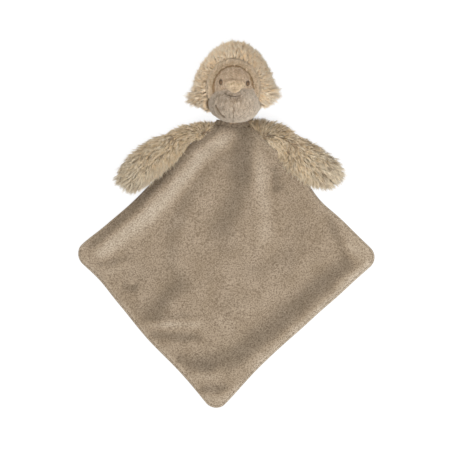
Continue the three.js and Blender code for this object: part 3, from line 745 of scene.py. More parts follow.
def cloth_places(cells):
    """Flat places over the cut, with rows closer together towards its edges."""
    line = np.linspace(-1, 1, cells + 1)
    line = np.sign(line) * (1 - (1 - np.abs(line)) ** CELL_CROWDING)
    across, along = np.meshgrid(line, line, indexing="ij")
    flat = np.stack([along, across])
    reach = np.abs(flat).max(axis=0)
    half = np.array([CLOTH_LENGTH, CLOTH_WIDTH])[:, None, None] / 2 - RIM
    flat = flat / np.where(reach == 0, 1, reach) * half
    past = np.abs(flat) - (half - CORNER_RADIUS)
    gap = np.hypot(*past)
    at_neck = (flat[0] > 0) & (flat[1] < 0)
    rounded = (past > 0).all(axis=0) & ~at_neck
    pull = np.where(rounded & (gap > CORNER_RADIUS), CORNER_RADIUS / np.maximum(gap, 1e-9), 1)
    flat = np.where(rounded, np.sign(flat) * (half - CORNER_RADIUS + past * pull), flat)
    x, y = (flat[0] * LENGTHWAY[axis] + flat[1] * WIDTHWAY[axis] for axis in (0, 1))
    cut = np.where(y > NECK_SEAM_Y - RIM, (NECK_SEAM_Y - RIM) / np.maximum(y, 1e-9), 1)
    return x * cut * reach, y * cut * reach


def laid(x, y):
    """Where the gathered cloth really lies."""
    moved_x, moved_y = x.copy(), y.copy()
    for place, reach, shift in EDGE_SHIFTS:
        near = bump_at(np.hypot(x - place[0] * HALF_ACROSS, y - place[1] * HALF_UP), reach)
        moved_x += near * shift[0]
        moved_y += near * shift[1]
    return moved_x, moved_y


def edge_distance(x, y):
    along = (x / LENGTHWAY[0] + y / LENGTHWAY[1]) / 2
    across = (x / LENGTHWAY[0] - y / LENGTHWAY[1]) / 2
    return np.minimum(CLOTH_LENGTH / 2 - np.abs(along), CLOTH_WIDTH / 2 - np.abs(across))


def beside(path, x, y):
    """How far along a path each point lies, from 0 to 1, how far to its side, and how far from it."""
    corners = np.array(path) * [HALF_ACROSS, HALF_UP]
    lengths = np.hypot(*np.diff(corners, axis=0).T)
    nearest_gap = np.full(x.shape, np.inf)
    share, side = np.zeros_like(x), np.zeros_like(x)
    done = 0.0
    for first, last, length in zip(corners[:-1], corners[1:], lengths):
        run = (last - first) / length
        ahead = (x - first[0]) * run[0] + (y - first[1]) * run[1]
        over = (x - first[0]) * run[1] - (y - first[1]) * run[0]
        gap = np.hypot(ahead - np.clip(ahead, 0, length), over)
        nearer = gap < nearest_gap
        along = (done + ahead) / lengths.sum()
        within = (along > 0) & (along < 1)
        share = np.where(nearer, along, share)
        side = np.where(nearer, np.where(within, np.sign(over) * gap, over), side)
        nearest_gap = np.where(nearer, gap, nearest_gap)
        done += length
    return share, side, nearest_gap


def folds(x, y):
    rise = np.zeros_like(x)
    for height, left, right, path in FOLD_SHARES:
        share, side, _ = beside(path, x, y)
        wander = 0.18 * FOLD_WIDTH * np.sin(5.1 * share + 11 * height)
        width = np.where(side < 0, left, right) * FOLD_WIDTH
        ends = smooth(share, -0.12, 0.25) * (1 - smooth(share, 0.72, 1.12))
        rise += FOLD_HEIGHT * height * ends * bump_at(side + wander, width)
    return rise


def back_height(x, y, *_):
    """Underside of the back layer, over gathered places."""
    middle, half_width = cloth_span(y)
    share = np.clip(np.abs(x - middle) / half_width, 0, 1) ** 3
    underside = NECK_CENTRE[2] - GATHER_HALF_DEPTH
    seam = NECK_CENTRE[2] - 2 * CLOTH_THICKNESS
    return near_neck(y) * mix(underside, seam, share)


def pleats(x, y):
    """Small gathers that fan out from the neck and die away down the cloth."""
    middle, half_width = cloth_span(y)
    share = (x - middle) / half_width
    waves = np.cos(19 * share + 2.0 * np.sin(3 * share)) + 0.5 * np.cos(31 * share + 1)
    return PLEAT_HEIGHT * near_neck(y) ** 1.5 * waves


def edge_roll(x, y):
    """The turned seam allowance makes a soft roll just inside the edge, and puckers across it."""
    distance = edge_distance(x, y)
    places = flat_points(x, y)
    roll = EDGE_ROLL_HEIGHT * rippled(1, places, EDGE_ROLL_UNEVEN)
    roll = roll * bump_at(distance - EDGE_ROLL_INSET, EDGE_ROLL_WIDTH)
    return roll + PUCKER_HEIGHT * ripple(places, PUCKER_SIZE, 4) * bump_at(distance, PUCKER_REACH)


def front_height(x, y, flat_x, flat_y):
    middle, half_width = cloth_span(y)
    across = np.clip(np.abs(x - middle) / half_width, 0, 1)
    puff = near_neck(y) * (2 * (GATHER_HALF_DEPTH - CLOTH_THICKNESS) - LAYER_GAP) * np.sqrt(1 - across ** 2)
    inside = smooth(edge_distance(flat_x, flat_y), 0, FLAT_EDGE)
    places = flat_points(x, y)
    rise = (folds(x, y) + rippled(0, places, SLACK)) * inside + pleats(x, y) * inside
    rise = rise + edge_roll(flat_x, flat_y)
    rise = np.maximum(rise + LOFT * inside, -LAYER_GAP - 0.5 * puff)
    height = back_height(x, y) + 2 * CLOTH_THICKNESS + LAYER_GAP + puff + rise
    return rippled(height, places, TUFTING)


def boundary(cells):
    """The outer ring of a square grid of points, in order."""
    across = cells + 1
    first = np.arange(cells)
    last = cells - first
    return np.concatenate([first, first * across + cells, cells * across + last, last * across])


def rounded_rim(edge, inside_z):
    """Rows of points that turn over the edge of a layer, from its face to its inside."""
    along = unit(np.roll(edge, -1, axis=0) - np.roll(edge, 1, axis=0))
    outward = stacked(along[:, 1], -along[:, 0], np.zeros(len(edge)))
    outward *= np.sign(np.sum(outward * edge))
    rims = []
    for row in range(1, RIM_ROWS + 1):
        turn = row / RIM_ROWS * math.pi / 2
        rim = edge + outward * RIM * math.sin(turn)
        rim[:, 2] = mix(inside_z, edge[:, 2], math.cos(turn))
        rims.append(rim)
    return rims


def cloth_layer(name, cells, height, upward):
    """One closed layer of cloth: its napped face, a rounded rim, and its plain inside."""
    flat_x, flat_y = cloth_places(cells)
    x, y = gathered(flat_x, flat_y), flat_y
    waves = flat_points(x, y)
    x = x + WAVE_DEPTH * ripple(waves, WAVE_SIZE, 1)
    y = y + WAVE_DEPTH * ripple(waves, WAVE_SIZE, 2) * (1 - near_neck(y))
    z = height(x, y, flat_x, flat_y)
    x, y = laid(x, y)
    face = stacked(x, y, z).reshape(-1, 3)
    inside = face - [0, 0, CLOTH_THICKNESS if upward else -CLOTH_THICKNESS]
    ring = boundary(cells)
    points = np.concatenate([face, inside, *rounded_rim(face[ring], inside[ring, 2])])
    count = len(face)
    starts = 2 * count + len(ring) * np.arange(RIM_ROWS)
    loops = [ring, *(start + np.arange(len(ring)) for start in starts), count + ring]
    strips = [stacked(near, far, np.roll(far, -1), np.roll(near, -1))
              for near, far in zip(loops[:-1], loops[1:])]
    quads = grid_quads(cells, cells)
    faces = np.concatenate([quads[:, ::-1], quads + count, *strips])
    if not upward:
        faces = faces[:, ::-1]
    low = points.min(axis=0)
    uv = (points[:, :2] - low[:2]) / (points.max(axis=0) - low).max()
    layer = mesh_object(name, points, [faces], uv[faces.ravel()])
    rim_gap = np.maximum(edge_distance(flat_x, flat_y).ravel() - RIM, 0)
    on_rim = np.zeros(len(points) - 2 * count)
    paint_fold_light(layer, points[:, 0], points[:, 1], np.concatenate([rim_gap, rim_gap, on_rim]))
    return layer


def paint_fold_light(layer, x, y, rim_gap):
    """Paint light and shade into the pile: lighter on slopes that turn to the lower right, towards the light,
    and on the rim, lighter or darker along the strokes.
    """
    reach = SLOPE_STEP * TOWARDS_LIGHT
    drop = folds(x - reach[0], y - reach[1]) - folds(x + reach[0], y + reach[1])
    lean = SLOPE_LIGHT_STRENGTH * drop / (2 * SLOPE_STEP) + RIM_HIGHLIGHT * bump_at(rim_gap, RIM_HIGHLIGHT_WIDTH)
    for width, lighter, path in PAINTED_LIGHT_STROKES:
        lean = lean + lighter * bump_at(beside(path, x, y)[2], width * FOLD_WIDTH)
    lean = rippled(lean, flat_points(x, y), NAP_PATCHES)
    limit = np.where(lean > 0, PAINTED_LIGHT_LIMIT, PAINTED_SHADE_LIMIT)
    set_painted_light(layer, limit * np.tanh(lean / limit))


def make_blanket():
    front = cloth_layer("blanket_front_plush", FRONT_CELLS, front_height, upward=True)
    back = cloth_layer("blanket_back_plush", BACK_CELLS, back_height, upward=False)
    dress(front, "cloth_velour", ["blanket_front"], "root")
    dress(back, "back_velour", ["blanket_back"], "root")


# Hood: a stuffed ball with long hair, which parts round the face
CHEEK_SPREAD = (0.17, 0.0935)
CHEEK_START = 0.004
CHEEK_END = 0.028
FACE_MIDDLE = (0.0006, 0.194)
FACE_HALF = (0.0240, 0.0268)
ROLL_HALF = (0.0268, 0.0296)
FRONT_Z = HEAD_CENTRE[2] + 0.012
HAIR_CENTRE = np.array([0.0013, 0.191])
HAIR_LENGTH = 0.0095
HAIR_ROOTS = 260000
HAIR_WARM_X = 0.04
HAIR_SPLIT_Z = 0.030
BARE_BY_NECK = 0.0165
# Below this level, on the left and the right, hair hangs down behind the cheek.
LOW_CHEEK_Y = (0.1680, 0.1765)
HANGING = [0.0, -0.2, -1.0]
# Levels from which to which hair grows to full length, and over which the painted shade in its clumps fades,
# as the crown is lit
CHEEK_Y = (0.168, 0.184)
CROWN_Y = (0.205, 0.228)
# How far the hair keeps from the face and from the muzzle, as shares of their ovals
FACE_CLEAR_SHARE = 1.09
MUZZLE_CLEAR_SHARE = 1.04
# A tuft of longer hair stands out on each cheek: its place, how much longer it is, and its width.
TUFTS = [((-0.035, 0.1830), 0.0100, 0.0056), ((0.039, 0.1905), 0.0092, 0.0060)]
TUFT_Z = 0.038
TUFT_DEPTH = 0.020
# The hood's hair in four pieces: its side and face, its seed, and how dark its deepest clumps look, painted
# shade that is heavier on the left half, which is turned from the light
HOOD_PARTS = (("left", "front", 134, 0.70), ("left", "back", 127, 0.70),
              ("right", "front", 140, 0.42), ("right", "back", 133, 0.42))
# How dark the deepest clumps look at the top: less painted shade where the crown is lit
CROWN_SHADOW = 0.10


def reach_on(half, x, y):
    """How far out a place is on an oval round the face's middle; 1 is on the oval."""
    return np.hypot((x - FACE_MIDDLE[0]) / half[0], (y - FACE_MIDDLE[1]) / half[1])


def head_places(directions):
    points = HEAD_CENTRE + directions * HEAD_HALF
    below = smooth(HEAD_CENTRE[1] - points[..., 1], CHEEK_START, CHEEK_END)
    aside = points[..., 0] - HEAD_CENTRE[0]
    points[..., 0] += aside * below * np.where(aside < 0, *CHEEK_SPREAD)
    return points


def head_top(x, y):
    """Height of the stuffed head's front."""
    share = 1 - ((x - HEAD_CENTRE[0]) / HEAD_HALF[0]) ** 2 - ((y - HEAD_CENTRE[1]) / HEAD_HALF[1]) ** 2
    return HEAD_CENTRE[2] + HEAD_HALF[2] * np.sqrt(np.maximum(share, 0))


def hair_lengths(x, y, z, flows, random):
    lengths = HAIR_LENGTH * (1 + 0.12 * random.normal(size=len(x)))
    lengths = np.maximum(lengths, 0.5 * HAIR_LENGTH)
    lengths *= mix(0.55, 1.0, smooth(y, *CHEEK_Y))
    slant = np.abs(2 * flows[:, 0] * flows[:, 1]) * (flows[:, 1] > 0)
    lengths *= 1 - 0.42 * slant ** 2
    from_face = mix(0.60, 1.0, smooth(reach_on(ROLL_HALF, x, y), 1.06, 1.36))
    lengths *= np.where(z > FRONT_Z, from_face, 1.0)
    for place, longer, width in TUFTS:
        gap = np.hypot(x - place[0], y - place[1])
        lengths += longer * bump_at(gap, width) * bump_at(z - TUFT_Z, TUFT_DEPTH)
    return lengths


def make_hood():
    dress(ball("head_skin", head_places), "hood_backing", ["head_stuffing"], "head")
    random = np.random.default_rng(11)
    directions = unit(random.normal(size=(HAIR_ROOTS, 3)))
    points = head_places(directions)
    x, y, z = points.T
    on_face = (reach_on(ROLL_HALF, x, y) < FACE_CLEAR_SHARE) & (z > FRONT_Z)
    in_muzzle = np.sum(((points - MUZZLE_CENTRE) / MUZZLE_HALF) ** 2, axis=-1) < MUZZLE_CLEAR_SHARE
    by_neck = np.linalg.norm(points - NECK_CENTRE, axis=-1) < BARE_BY_NECK
    kept = ~(on_face | in_muzzle | by_neck)
    points, normals = points[kept], unit(directions / HEAD_HALF)[kept]
    x, y, z = points.T
    low_cheek = y < np.where(x < 0, *LOW_CHEEK_Y)
    flows = np.column_stack([unit(points[:, :2] - HAIR_CENTRE), np.zeros(len(points))])
    flows[low_cheek] = HANGING
    lengths = hair_lengths(x, y, z, flows, random)
    lengths[low_cheek] = 0.3 * HAIR_LENGTH
    warm = 0.35 + 0.25 * ripple(points, TONE_PATCH, 21) + 0.2 * np.abs(x) / HAIR_WARM_X
    for side, face, seed, depth in HOOD_PARTS:
        on_part = ((x < HEAD_CENTRE[0]) == (side == "left")) & ((z > HAIR_SPLIT_Z) == (face == "front"))
        here = np.flatnonzero(on_part)[:TOP_STRANDS if face == "front" else UNDER_STRANDS]
        shadow = mix(depth, CROWN_SHADOW, smooth(y[here], *CROWN_Y))
        fields = [field[here] for field in (points, normals, flows, lengths, warm)]
        made = fur(f"hood_fur_{side}_{face}", seed, shadow, HOOD_COAT, *fields)
        dress(made, "hood_fur", [f"hood_{side}"], "head")


# Face: a short-pile panel inside the hood's rolled edge, with a nose pad and embroidered eyes
ROLL_RADIUS = 0.0036
ROLL_FLATNESS = 0.8
ROLL_LOOPS = 110
ROLL_ENDS = np.radians((206, -26))
ROLL_LIFT = 0.0004
ROLL_DIMPLES = ((0.07, 0.006, 31), (0.05, 0.002, 32))
EYE_Y = 0.2005
EYE_XS = (-0.0139, 0.0170)
EYE_HALF = (0.0021, 0.0033)
EYE_CLEARING = (0.0022, 0.0033)
SHINE_SHIFT = (0.0002, -0.0006)
SHINE_HALF = (0.0010, 0.0016)
EYE_LIFT = 0.0012
SHINE_LIFT = 0.0003
SATIN_DOME = 0.0008
SATIN_RIDGE = 0.00010
SATIN_STITCH = 0.00062
PANEL_DEPTH = 0.004
PANEL_PUFF = 0.0012
PANEL_TUCK = 0.0036
# The padded brow over the crease above the eyes: heights, then each one's level, half width and half height
BROW_X = 0.001
BROW = (0.0016, 0.2115, 0.015, 0.0062)
BROW_CREASE = (0.0011, 0.2047, 0.012, 0.0012)
# Painted shade in the crease above the nose: how dark, then its level, half width and half height
BROW_SHADE = (0.50, 0.2046, 0.0085, 0.0010)
NOSE_HEIGHT = 0.0040
NOSE_DEPTH = 0.003
NOSE_SLOPE_Y = (0.1970, 0.2028)
FACE_BLEND = 0.0007
FACE_BLEND_WIDTH = 0.0025
NOSE_MIDDLE = (0.0028, 0.1965)
NOSE_OUTLINE = [(0.0134, 0.1985), (0.0124, 0.2010), (0.0068, 0.2028), (0.0000, 0.2026), (-0.0056, 0.2010),
                (-0.0090, 0.1984), (-0.0084, 0.1956), (-0.0046, 0.1922), (-0.0010, 0.1899), (0.0025, 0.1889),
                (0.0055, 0.1901), (0.0085, 0.1930), (0.0118, 0.1957)]
NOSE_SOFTENING = 20
# Painted light and shade under short pile: how strongly it follows the pile's painted shade, and the painted
# shade in the grooves where no pile grows
PAINTED_LIGHT_PER_SHADE = 2.4
BARE_GROOVE_SHADE = 2.1


def ellipse(half):
    return lambda angle: half[0] * half[1] / np.hypot(half[1] * np.cos(angle), half[0] * np.sin(angle))


def on_brow(x, y, height, level, half_width, half_height):
    return height * bump_at(x - BROW_X, half_width) * bump_at(y - level, half_height)


def face_height(x, y, share):
    puff = PANEL_PUFF * (1 - share ** 6) - PANEL_TUCK * smooth(share, 0.85, 0.97)
    return head_top(x, y) + puff + (on_brow(x, y, *BROW) - on_brow(x, y, *BROW_CREASE))


def face_shade(x, y):
    """Painted shade, below nought, on the short pile of the brow in the crease above the nose."""
    return -on_brow(x, y, *BROW_SHADE)


def make_roll():
    """The turned edge of the hood, a soft band round the face that sinks under the cheeks."""
    angle = np.linspace(*ROLL_ENDS, ROLL_LOOPS)
    x = FACE_MIDDLE[0] + ROLL_HALF[0] * np.cos(angle)
    y = FACE_MIDDLE[1] + ROLL_HALF[1] * np.sin(angle)
    line = stacked(x, y, head_top(x, y) + ROLL_LIFT)
    outward = unit(stacked(np.cos(angle), np.sin(angle), -0.45 * np.ones_like(angle)))
    upward = unit(np.cross(unit(np.gradient(line, axis=0)), outward))
    upward *= np.sign(upward[:, 2:])
    taper = np.sqrt(np.clip(1 - np.abs(np.linspace(-1, 1, ROLL_LOOPS)) ** 14, 0.02, 1))
    size = ROLL_RADIUS * taper * rippled(1, line, ROLL_DIMPLES)
    loops = loops_round(line, size, outward, ROLL_FLATNESS * upward, 28)
    return closed_form("face_band", line[0], loops, line[-1])


def nose_outline(angle):
    gaps = np.array(NOSE_OUTLINE) - NOSE_MIDDLE
    directions = np.arctan2(gaps[:, 1], gaps[:, 0])
    order = np.argsort(directions)
    fine = np.linspace(-math.pi, math.pi, 361)[:-1]
    radius = np.interp(fine, directions[order], np.hypot(*gaps.T)[order], period=2 * math.pi)
    window = bump_at(np.linspace(-3.0, 3.0, 2 * NOSE_SOFTENING + 1), 1)
    around = np.concatenate([radius[-NOSE_SOFTENING:], radius, radius[:NOSE_SOFTENING]])
    radius = np.convolve(around, window / window.sum(), "valid")
    return np.interp(angle, fine, radius, period=2 * math.pi)


def face_surface(x, y):
    """The head's front or the muzzle's, whichever stands further forward, with a soft change between them."""
    head, muzzle = head_top(x, y), muzzle_top(x, y)
    return np.maximum(head, muzzle) + FACE_BLEND * bump_at(head - muzzle, FACE_BLEND_WIDTH)


def nose_height(x, y, share):
    dome = np.sqrt(np.maximum(1 - share ** 3.0, 0))
    top_edge = 1 - 0.45 * smooth(y, *NOSE_SLOPE_Y)
    return face_surface(x, y) + NOSE_HEIGHT * dome * top_edge


def make_eye(side, x):
    """A satin-stitched oval, paler in its middle than round its rim."""
    middle, shine = (x, EYE_Y), (x + SHINE_SHIFT[0], EYE_Y + SHINE_SHIFT[1])

    def satin(rise):
        def height(px, py, share):
            dome = SATIN_DOME + SATIN_RIDGE * np.sin(2 * math.pi * py / SATIN_STITCH)
            return head_top(px, py) + EYE_LIFT + rise + dome * np.sqrt(np.maximum(1 - share ** 4, 0))
        return height

    for name, place, half, rise, material in (("eye_rim", middle, EYE_HALF, 0.0, "eye_thread"),
                                              ("eye_satin", shine, SHINE_HALF, SHINE_LIFT, "eye_rim")):
        eye = pad(f"{name}_{side}", place, ellipse(half), satin(rise), head_top, 24, 72)
        dress(eye, material, [f"eye_{side}"], "head")


def make_face():
    panel = pad("face_velour", FACE_MIDDLE, ellipse(FACE_HALF), face_height,
                lambda x, y: head_top(x, y) - PANEL_DEPTH)
    x, y, _ = places_of(panel).T
    # The panel's bare rim and the band's inner side are painted dark: shade in the groove between them
    bare = smooth(reach_on(FACE_HALF, x, y), 0.90, 0.94)
    set_painted_light(panel, PAINTED_LIGHT_PER_SHADE * face_shade(x, y) - BARE_GROOVE_SHADE * bare)
    roll = make_roll()
    x, y, _ = places_of(roll).T
    set_painted_light(roll, -BARE_GROOVE_SHADE * (1 - smooth(reach_on(ROLL_HALF, x, y), 0.885, 0.915)))
    bridge = pad("nose_pad", NOSE_MIDDLE, nose_outline, nose_height,
                 lambda x, y: face_surface(x, y) - NOSE_DEPTH)
    dress(panel, "face_velour", ["face_panel"], "head")
    dress(roll, "roll_velour", ["face_roll"], "head")
    dress(bridge, "bridge_velour", ["nose_bridge"], "head")
    for side, x in zip(("left", "right"), EYE_XS):
        make_eye(side, x)
    return panel, roll, bridge


# Muzzle: a round ball with cheeks, a middle seam and a stitched smile
MUZZLE_SEAM_X = 0.0022
MUZZLE_SEAM_TOP = 0.181
MUZZLE_ASIDE = 0.0014
MUZZLE_TALLER = 0.20
# How each cheek stands higher than the middle: the way it lies, its height, and where it starts and ends
CHEEK_RISES = ((1, 0.0058, 0.006, 0.024), (-1, 0.0040, 0.006, 0.022))
CHEEK_RISE_Y = (0.170, 0.192)
MUZZLE_SEAM_DEPTH = 0.0008
SEAM_DIP_Y = 0.187
SEAM_DIP_FADE = 0.005
SEAM_WIDTH = 0.0015
MUZZLE_DIMPLES = ((0.0006, 0.009, 41), (0.0003, 0.004, 42))
UNDER_NOSE_CENTRE = (0.0020, 0.2055)
UNDER_NOSE_RADIUS = 0.0210
UNDER_NOSE_WIDTH = 0.0011
UNDER_NOSE_DEPTH = 0.0016
UNDER_NOSE_HALF = 0.0115
UNDER_NOSE_FADE = 0.004
UNDER_NOSE_TOP = 0.196
SMILE_WIDTH = 0.0013
SMILE_BEND = np.array([[0.0187, 0.1735], [0.0165, 0.1665], [0.0085, 0.1608]])
SMILE_SHIFT = 0.0008
# Each half of the smile: its side, how deep it is drawn in, how high its thread lies and the thread's radius
SMILE_HALVES = (("left", -1, 0.0014, 0.0002, 0.00040), ("right", 1, 0.0002, 0.0004, 0.00022))
# Painted shade on the short pile in the creases of the seam and the smile, with each one's width, and under
# the nose
SEAM_SHADE = (0.25, 0.0010)
SEAM_SHADE_FADE = 0.006
SMILE_SHADE = (0.80, 0.0011)
UNDER_NOSE_SHADE = 0.70
# Painted light and shade on each cheek, the right one lit paler and the left one shaded darker: that much,
# the way it lies, and where it starts and ends
CHEEK_SHADES = ((0.10, 1, 0.004, 0.022), (-0.09, -1, -0.004, 0.014))
MUZZLE_FRONT_Z = 0.05


def cheek_rise(x):
    """The cheeks stand higher than the middle of the muzzle, the right one most."""
    return sum(rise * smooth(way * x, start, end) for way, rise, start, end in CHEEK_RISES)


def under_nose(x, y):
    """Nearly 1 along the shallow crease below the nose, and 0 away from it."""
    from_arc = np.hypot(x - UNDER_NOSE_CENTRE[0], y - UNDER_NOSE_CENTRE[1]) - UNDER_NOSE_RADIUS
    within = smooth(UNDER_NOSE_HALF - np.abs(x), 0, UNDER_NOSE_FADE)
    return bump_at(from_arc, UNDER_NOSE_WIDTH) * within * (y < UNDER_NOSE_TOP)


def smile_line(sign):
    share = np.linspace(0, 1, 24)[:, None]
    outer, middle, inner = SMILE_BEND
    line = (1 - share) ** 2 * outer + 2 * share * (1 - share) * middle + share ** 2 * inner
    return line * [sign, 1] + [SMILE_SHIFT, 0]


def smile_gap(x, y, sign=-1):
    flat = stacked(x, y)
    return np.min(np.linalg.norm(flat[..., None, :] - smile_line(sign), axis=-1), axis=-1)


def muzzle_places(directions):
    a, b, c = np.moveaxis(directions, -1, 0)
    taller = 1 + MUZZLE_TALLER * smooth(b, 0, 0.9)
    points = MUZZLE_CENTRE + stacked(a * MUZZLE_HALF[0] + MUZZLE_ASIDE, b * MUZZLE_HALF[1] * taller,
                                     c * MUZZLE_HALF[2])
    x, y = points[..., 0], points[..., 1]
    points[..., 1] += cheek_rise(x) * smooth(b, -0.3, 0.8)
    seam = MUZZLE_SEAM_DEPTH * bump_at(x - MUZZLE_SEAM_X, SEAM_WIDTH)
    seam = seam * smooth(SEAM_DIP_Y - y, 0, SEAM_DIP_FADE) * smooth(c, 0.0, 0.4)
    crease = UNDER_NOSE_DEPTH * under_nose(x, y) * (c > 0)
    smile = 0.0
    for _, sign, depth, _, _ in SMILE_HALVES:
        smile = smile + depth * bump_at(smile_gap(x, y, sign), SMILE_WIDTH) * smooth(c, 0.0, 0.3)
    drawn_in = seam + crease + smile - rippled(0, points, MUZZLE_DIMPLES)
    return points - directions * drawn_in[..., None]


def muzzle_top(x, y):
    tall = MUZZLE_HALF[1] * (1 + MUZZLE_TALLER * smooth(y - MUZZLE_CENTRE[1], 0, 0.9 * MUZZLE_HALF[1]))
    level = y - MUZZLE_CENTRE[1] - cheek_rise(x) * smooth(y, *CHEEK_RISE_Y)
    share = 1 - ((x - MUZZLE_CENTRE[0] - MUZZLE_ASIDE) / MUZZLE_HALF[0]) ** 2 - (level / tall) ** 2
    return MUZZLE_CENTRE[2] + MUZZLE_HALF[2] * np.sqrt(np.maximum(share, 0)) - 0.1 * (share < 0)


def muzzle_shade(x, y):
    """Painted light and shade on the muzzle's short pile: a lit right cheek, a shaded left, and shade in its
    creases.
    """
    sides = sum(painted_light_shift * smooth(way * x, start, end) for painted_light_shift, way, start, end in CHEEK_SHADES)
    smile = SMILE_SHADE[0] * bump_at(smile_gap(x, y), SMILE_SHADE[1])
    seam = bump_at(x - MUZZLE_SEAM_X, SEAM_SHADE[1]) * smooth(MUZZLE_SEAM_TOP - y, 0, SEAM_SHADE_FADE)
    return sides - UNDER_NOSE_SHADE * under_nose(x, y) - smile - SEAM_SHADE[0] * seam


def make_muzzle():
    muzzle = ball("muzzle_velour", muzzle_places, 120, 200)
    x, y, z = places_of(muzzle).T
    # Painted light and shade on the muzzle's front
    set_painted_light(muzzle, PAINTED_LIGHT_PER_SHADE * muzzle_shade(x, y) * (z > MUZZLE_FRONT_Z))
    nodes = ["muzzle_left", "muzzle_right", "muzzle_stuffing"]
    dress(muzzle, "muzzle_velour", nodes, "head")
    for side, sign, _, lift, radius in SMILE_HALVES:
        x, y = smile_line(sign).T
        line = stacked(x, y, muzzle_top(x, y) + lift)
        stitched = tube(f"smile_thread_{side}", line, radius)
        dress(stitched, "stitch_thread", [f"smile_stitch_{side}"], "head")
    return muzzle


# Plush over the face and the muzzle
# Each coat: how many strands it has, their length, its seed, and the place that they lie away from
MUZZLE_PILE = (46000, 0.0017, 91, [0.0025, 0.190, 0.070])
FACE_PILE = (14000, 0.0015, 92, [0.0012, 0.222, 0.070])
BAND_PILE = (15000, 0.0021, 93, [*FACE_MIDDLE, 0.070])
NOSE_PILE = (6000, 0.0013, 94, [0.0030, 0.205, 0.070])
# How near the seam and the smile no pile stands, and how deep its roots may lie behind the plain forms
SEAM_CLEARING = 0.0004
SMILE_CLEARING = 0.0008
NOSE_CLEARING = 0.0004
HEAD_BURIAL = 0.003
MUZZLE_BURIAL = 0.0005
MUZZLE_EDGE_BURIAL = 0.001


def on_nose(x, y, margin):
    away = stacked(x - NOSE_MIDDLE[0], y - NOSE_MIDDLE[1])
    return np.hypot(*away.T) < nose_outline(np.arctan2(away[:, 1], away[:, 0])) - margin


def on_seam(x, y):
    """The middle seam and the left half of the smile, where the pile is trodden into the stitches."""
    in_seam = (np.abs(x - MUZZLE_SEAM_X) < SEAM_CLEARING) & (y < MUZZLE_SEAM_TOP)
    return (smile_gap(x, y) < SMILE_CLEARING) | in_seam | (under_nose(x, y) > 0.6)


def on_eye(x, y):
    near = [np.hypot((x - middle) / EYE_CLEARING[0], (y - EYE_Y) / EYE_CLEARING[1]) < 1 for middle in EYE_XS]
    return near[0] | near[1]


def in_sight(x, y, z):
    """Above the head's plain front and the muzzle's, so that it isn't buried."""
    return (z > head_top(x, y) - HEAD_BURIAL) & (z > muzzle_top(x, y) - MUZZLE_BURIAL)


def on_muzzle(x, y, z):
    under_pad = on_nose(x, y, NOSE_CLEARING) & (z > MUZZLE_FRONT_Z)
    return (z > head_top(x, y) - MUZZLE_EDGE_BURIAL) & ~under_pad & ~on_seam(x, y)


def on_panel(x, y, z):
    return in_sight(x, y, z) & (reach_on(FACE_HALF, x, y) < 0.915) & ~on_nose(x, y, 0.0) & ~on_eye(x, y)


def on_roll(x, y, z):
    return in_sight(x, y, z) & (reach_on(ROLL_HALF, x, y) > 0.905)


def on_bridge(x, y, z):
    return z > face_surface(x, y)


def add_pile(name, skin, coat, kept, material, nodes, shade=None):
    """Plush over the parts of a skin that are kept."""
    count, length, seed, middle = coat
    random = np.random.default_rng(seed)
    points, normals = scatter(skin, 3 * count, random)
    here = np.flatnonzero(kept(*points.T))[:count]
    points, normals = points[here], normals[here]
    away = points - middle
    flows = unit(away - normals * np.sum(away * normals, axis=1, keepdims=True))
    painted_light_shift = shade(points[:, 0], points[:, 1]) if shade else 0
    dress(pile(name, points, normals, flows, length, seed, painted_light_shift), material, nodes, "head")


def make_plush(panel, roll, bridge, muzzle):
    add_pile("muzzle_pile", muzzle, MUZZLE_PILE, on_muzzle, "muzzle_pile",
             ["muzzle_left", "muzzle_right"], muzzle_shade)
    add_pile("face_pile", panel, FACE_PILE, on_panel, "face_pile", ["face_panel"], face_shade)
    add_pile("band_pile", roll, BAND_PILE, on_roll, "roll_pile", ["face_roll"])
    add_pile("nose_pile", bridge, NOSE_PILE, on_bridge, "bridge_pile", ["nose_bridge"])


# Neck: a pleated ball, the gathered end of the cloth, and the ring of closing stitches
NECK_RIDGES = 14
GATHER_PLEATS = 17
GATHER_END_HALF = (0.0185, 0.0090)
GATHER_START = -0.002
GATHER_LENGTH = 0.0075
GATHER_RAGGED = 0.0006
GATHER_CAP = 0.005
# Painted shade on the gathered cloth under the chin
GATHER_PAINTED_SHADE = -0.4
STITCHES = 20
STITCH_POINTS = 8
STITCH_HALF_TURN = 0.11
STITCH_RADIUS = 0.0005
STITCH_LIFT = 0.0004
STITCH_RING_TURN = math.radians(68)


def neck_places(directions):
    a, b, c = np.moveaxis(directions, -1, 0)
    ridge = 1 + 0.03 * np.cos(NECK_RIDGES * np.arctan2(c, a)) * (1 - b * b)
    return NECK_CENTRE + directions * NECK_BALL_RADIUS * ridge[..., None]


def round_neck(half_width, half_depth, angle, y):
    """Places round the neck's axis, level with y."""
    x = NECK_CENTRE[0] + half_width * np.cos(angle)
    return stacked(x, np.broadcast_to(y, x.shape), NECK_CENTRE[2] + half_depth * np.sin(angle))


def make_gather():
    share = np.linspace(0, 1, 16)[:, None]
    angle = turns(168)[None, :]
    half_width = mix(GATHER_HALF_WIDTH, GATHER_END_HALF[0], smooth(share, 0, 1))
    half_depth = mix(GATHER_HALF_DEPTH, GATHER_END_HALF[1], smooth(share, 0, 1))
    pleat = 1 + 0.05 * np.cos(GATHER_PLEATS * angle + 0.8 * np.sin(3 * angle)) * mix(0.6, 1.0, share)
    y = NECK_SEAM_Y + GATHER_START + GATHER_LENGTH * share + GATHER_RAGGED * np.cos(GATHER_PLEATS * angle)
    loops = round_neck(half_width * pleat, half_depth * pleat, angle, y)
    first, last = (round_neck(0, 0, np.array(0.0), NECK_SEAM_Y + end) for end in (GATHER_START, GATHER_CAP))
    gather = closed_form("gather_plush", first, loops, last)
    set_painted_light(gather, np.full(len(gather.data.vertices), GATHER_PAINTED_SHADE))
    dress(gather, "cloth_velour", ["neck_gather"], "root")


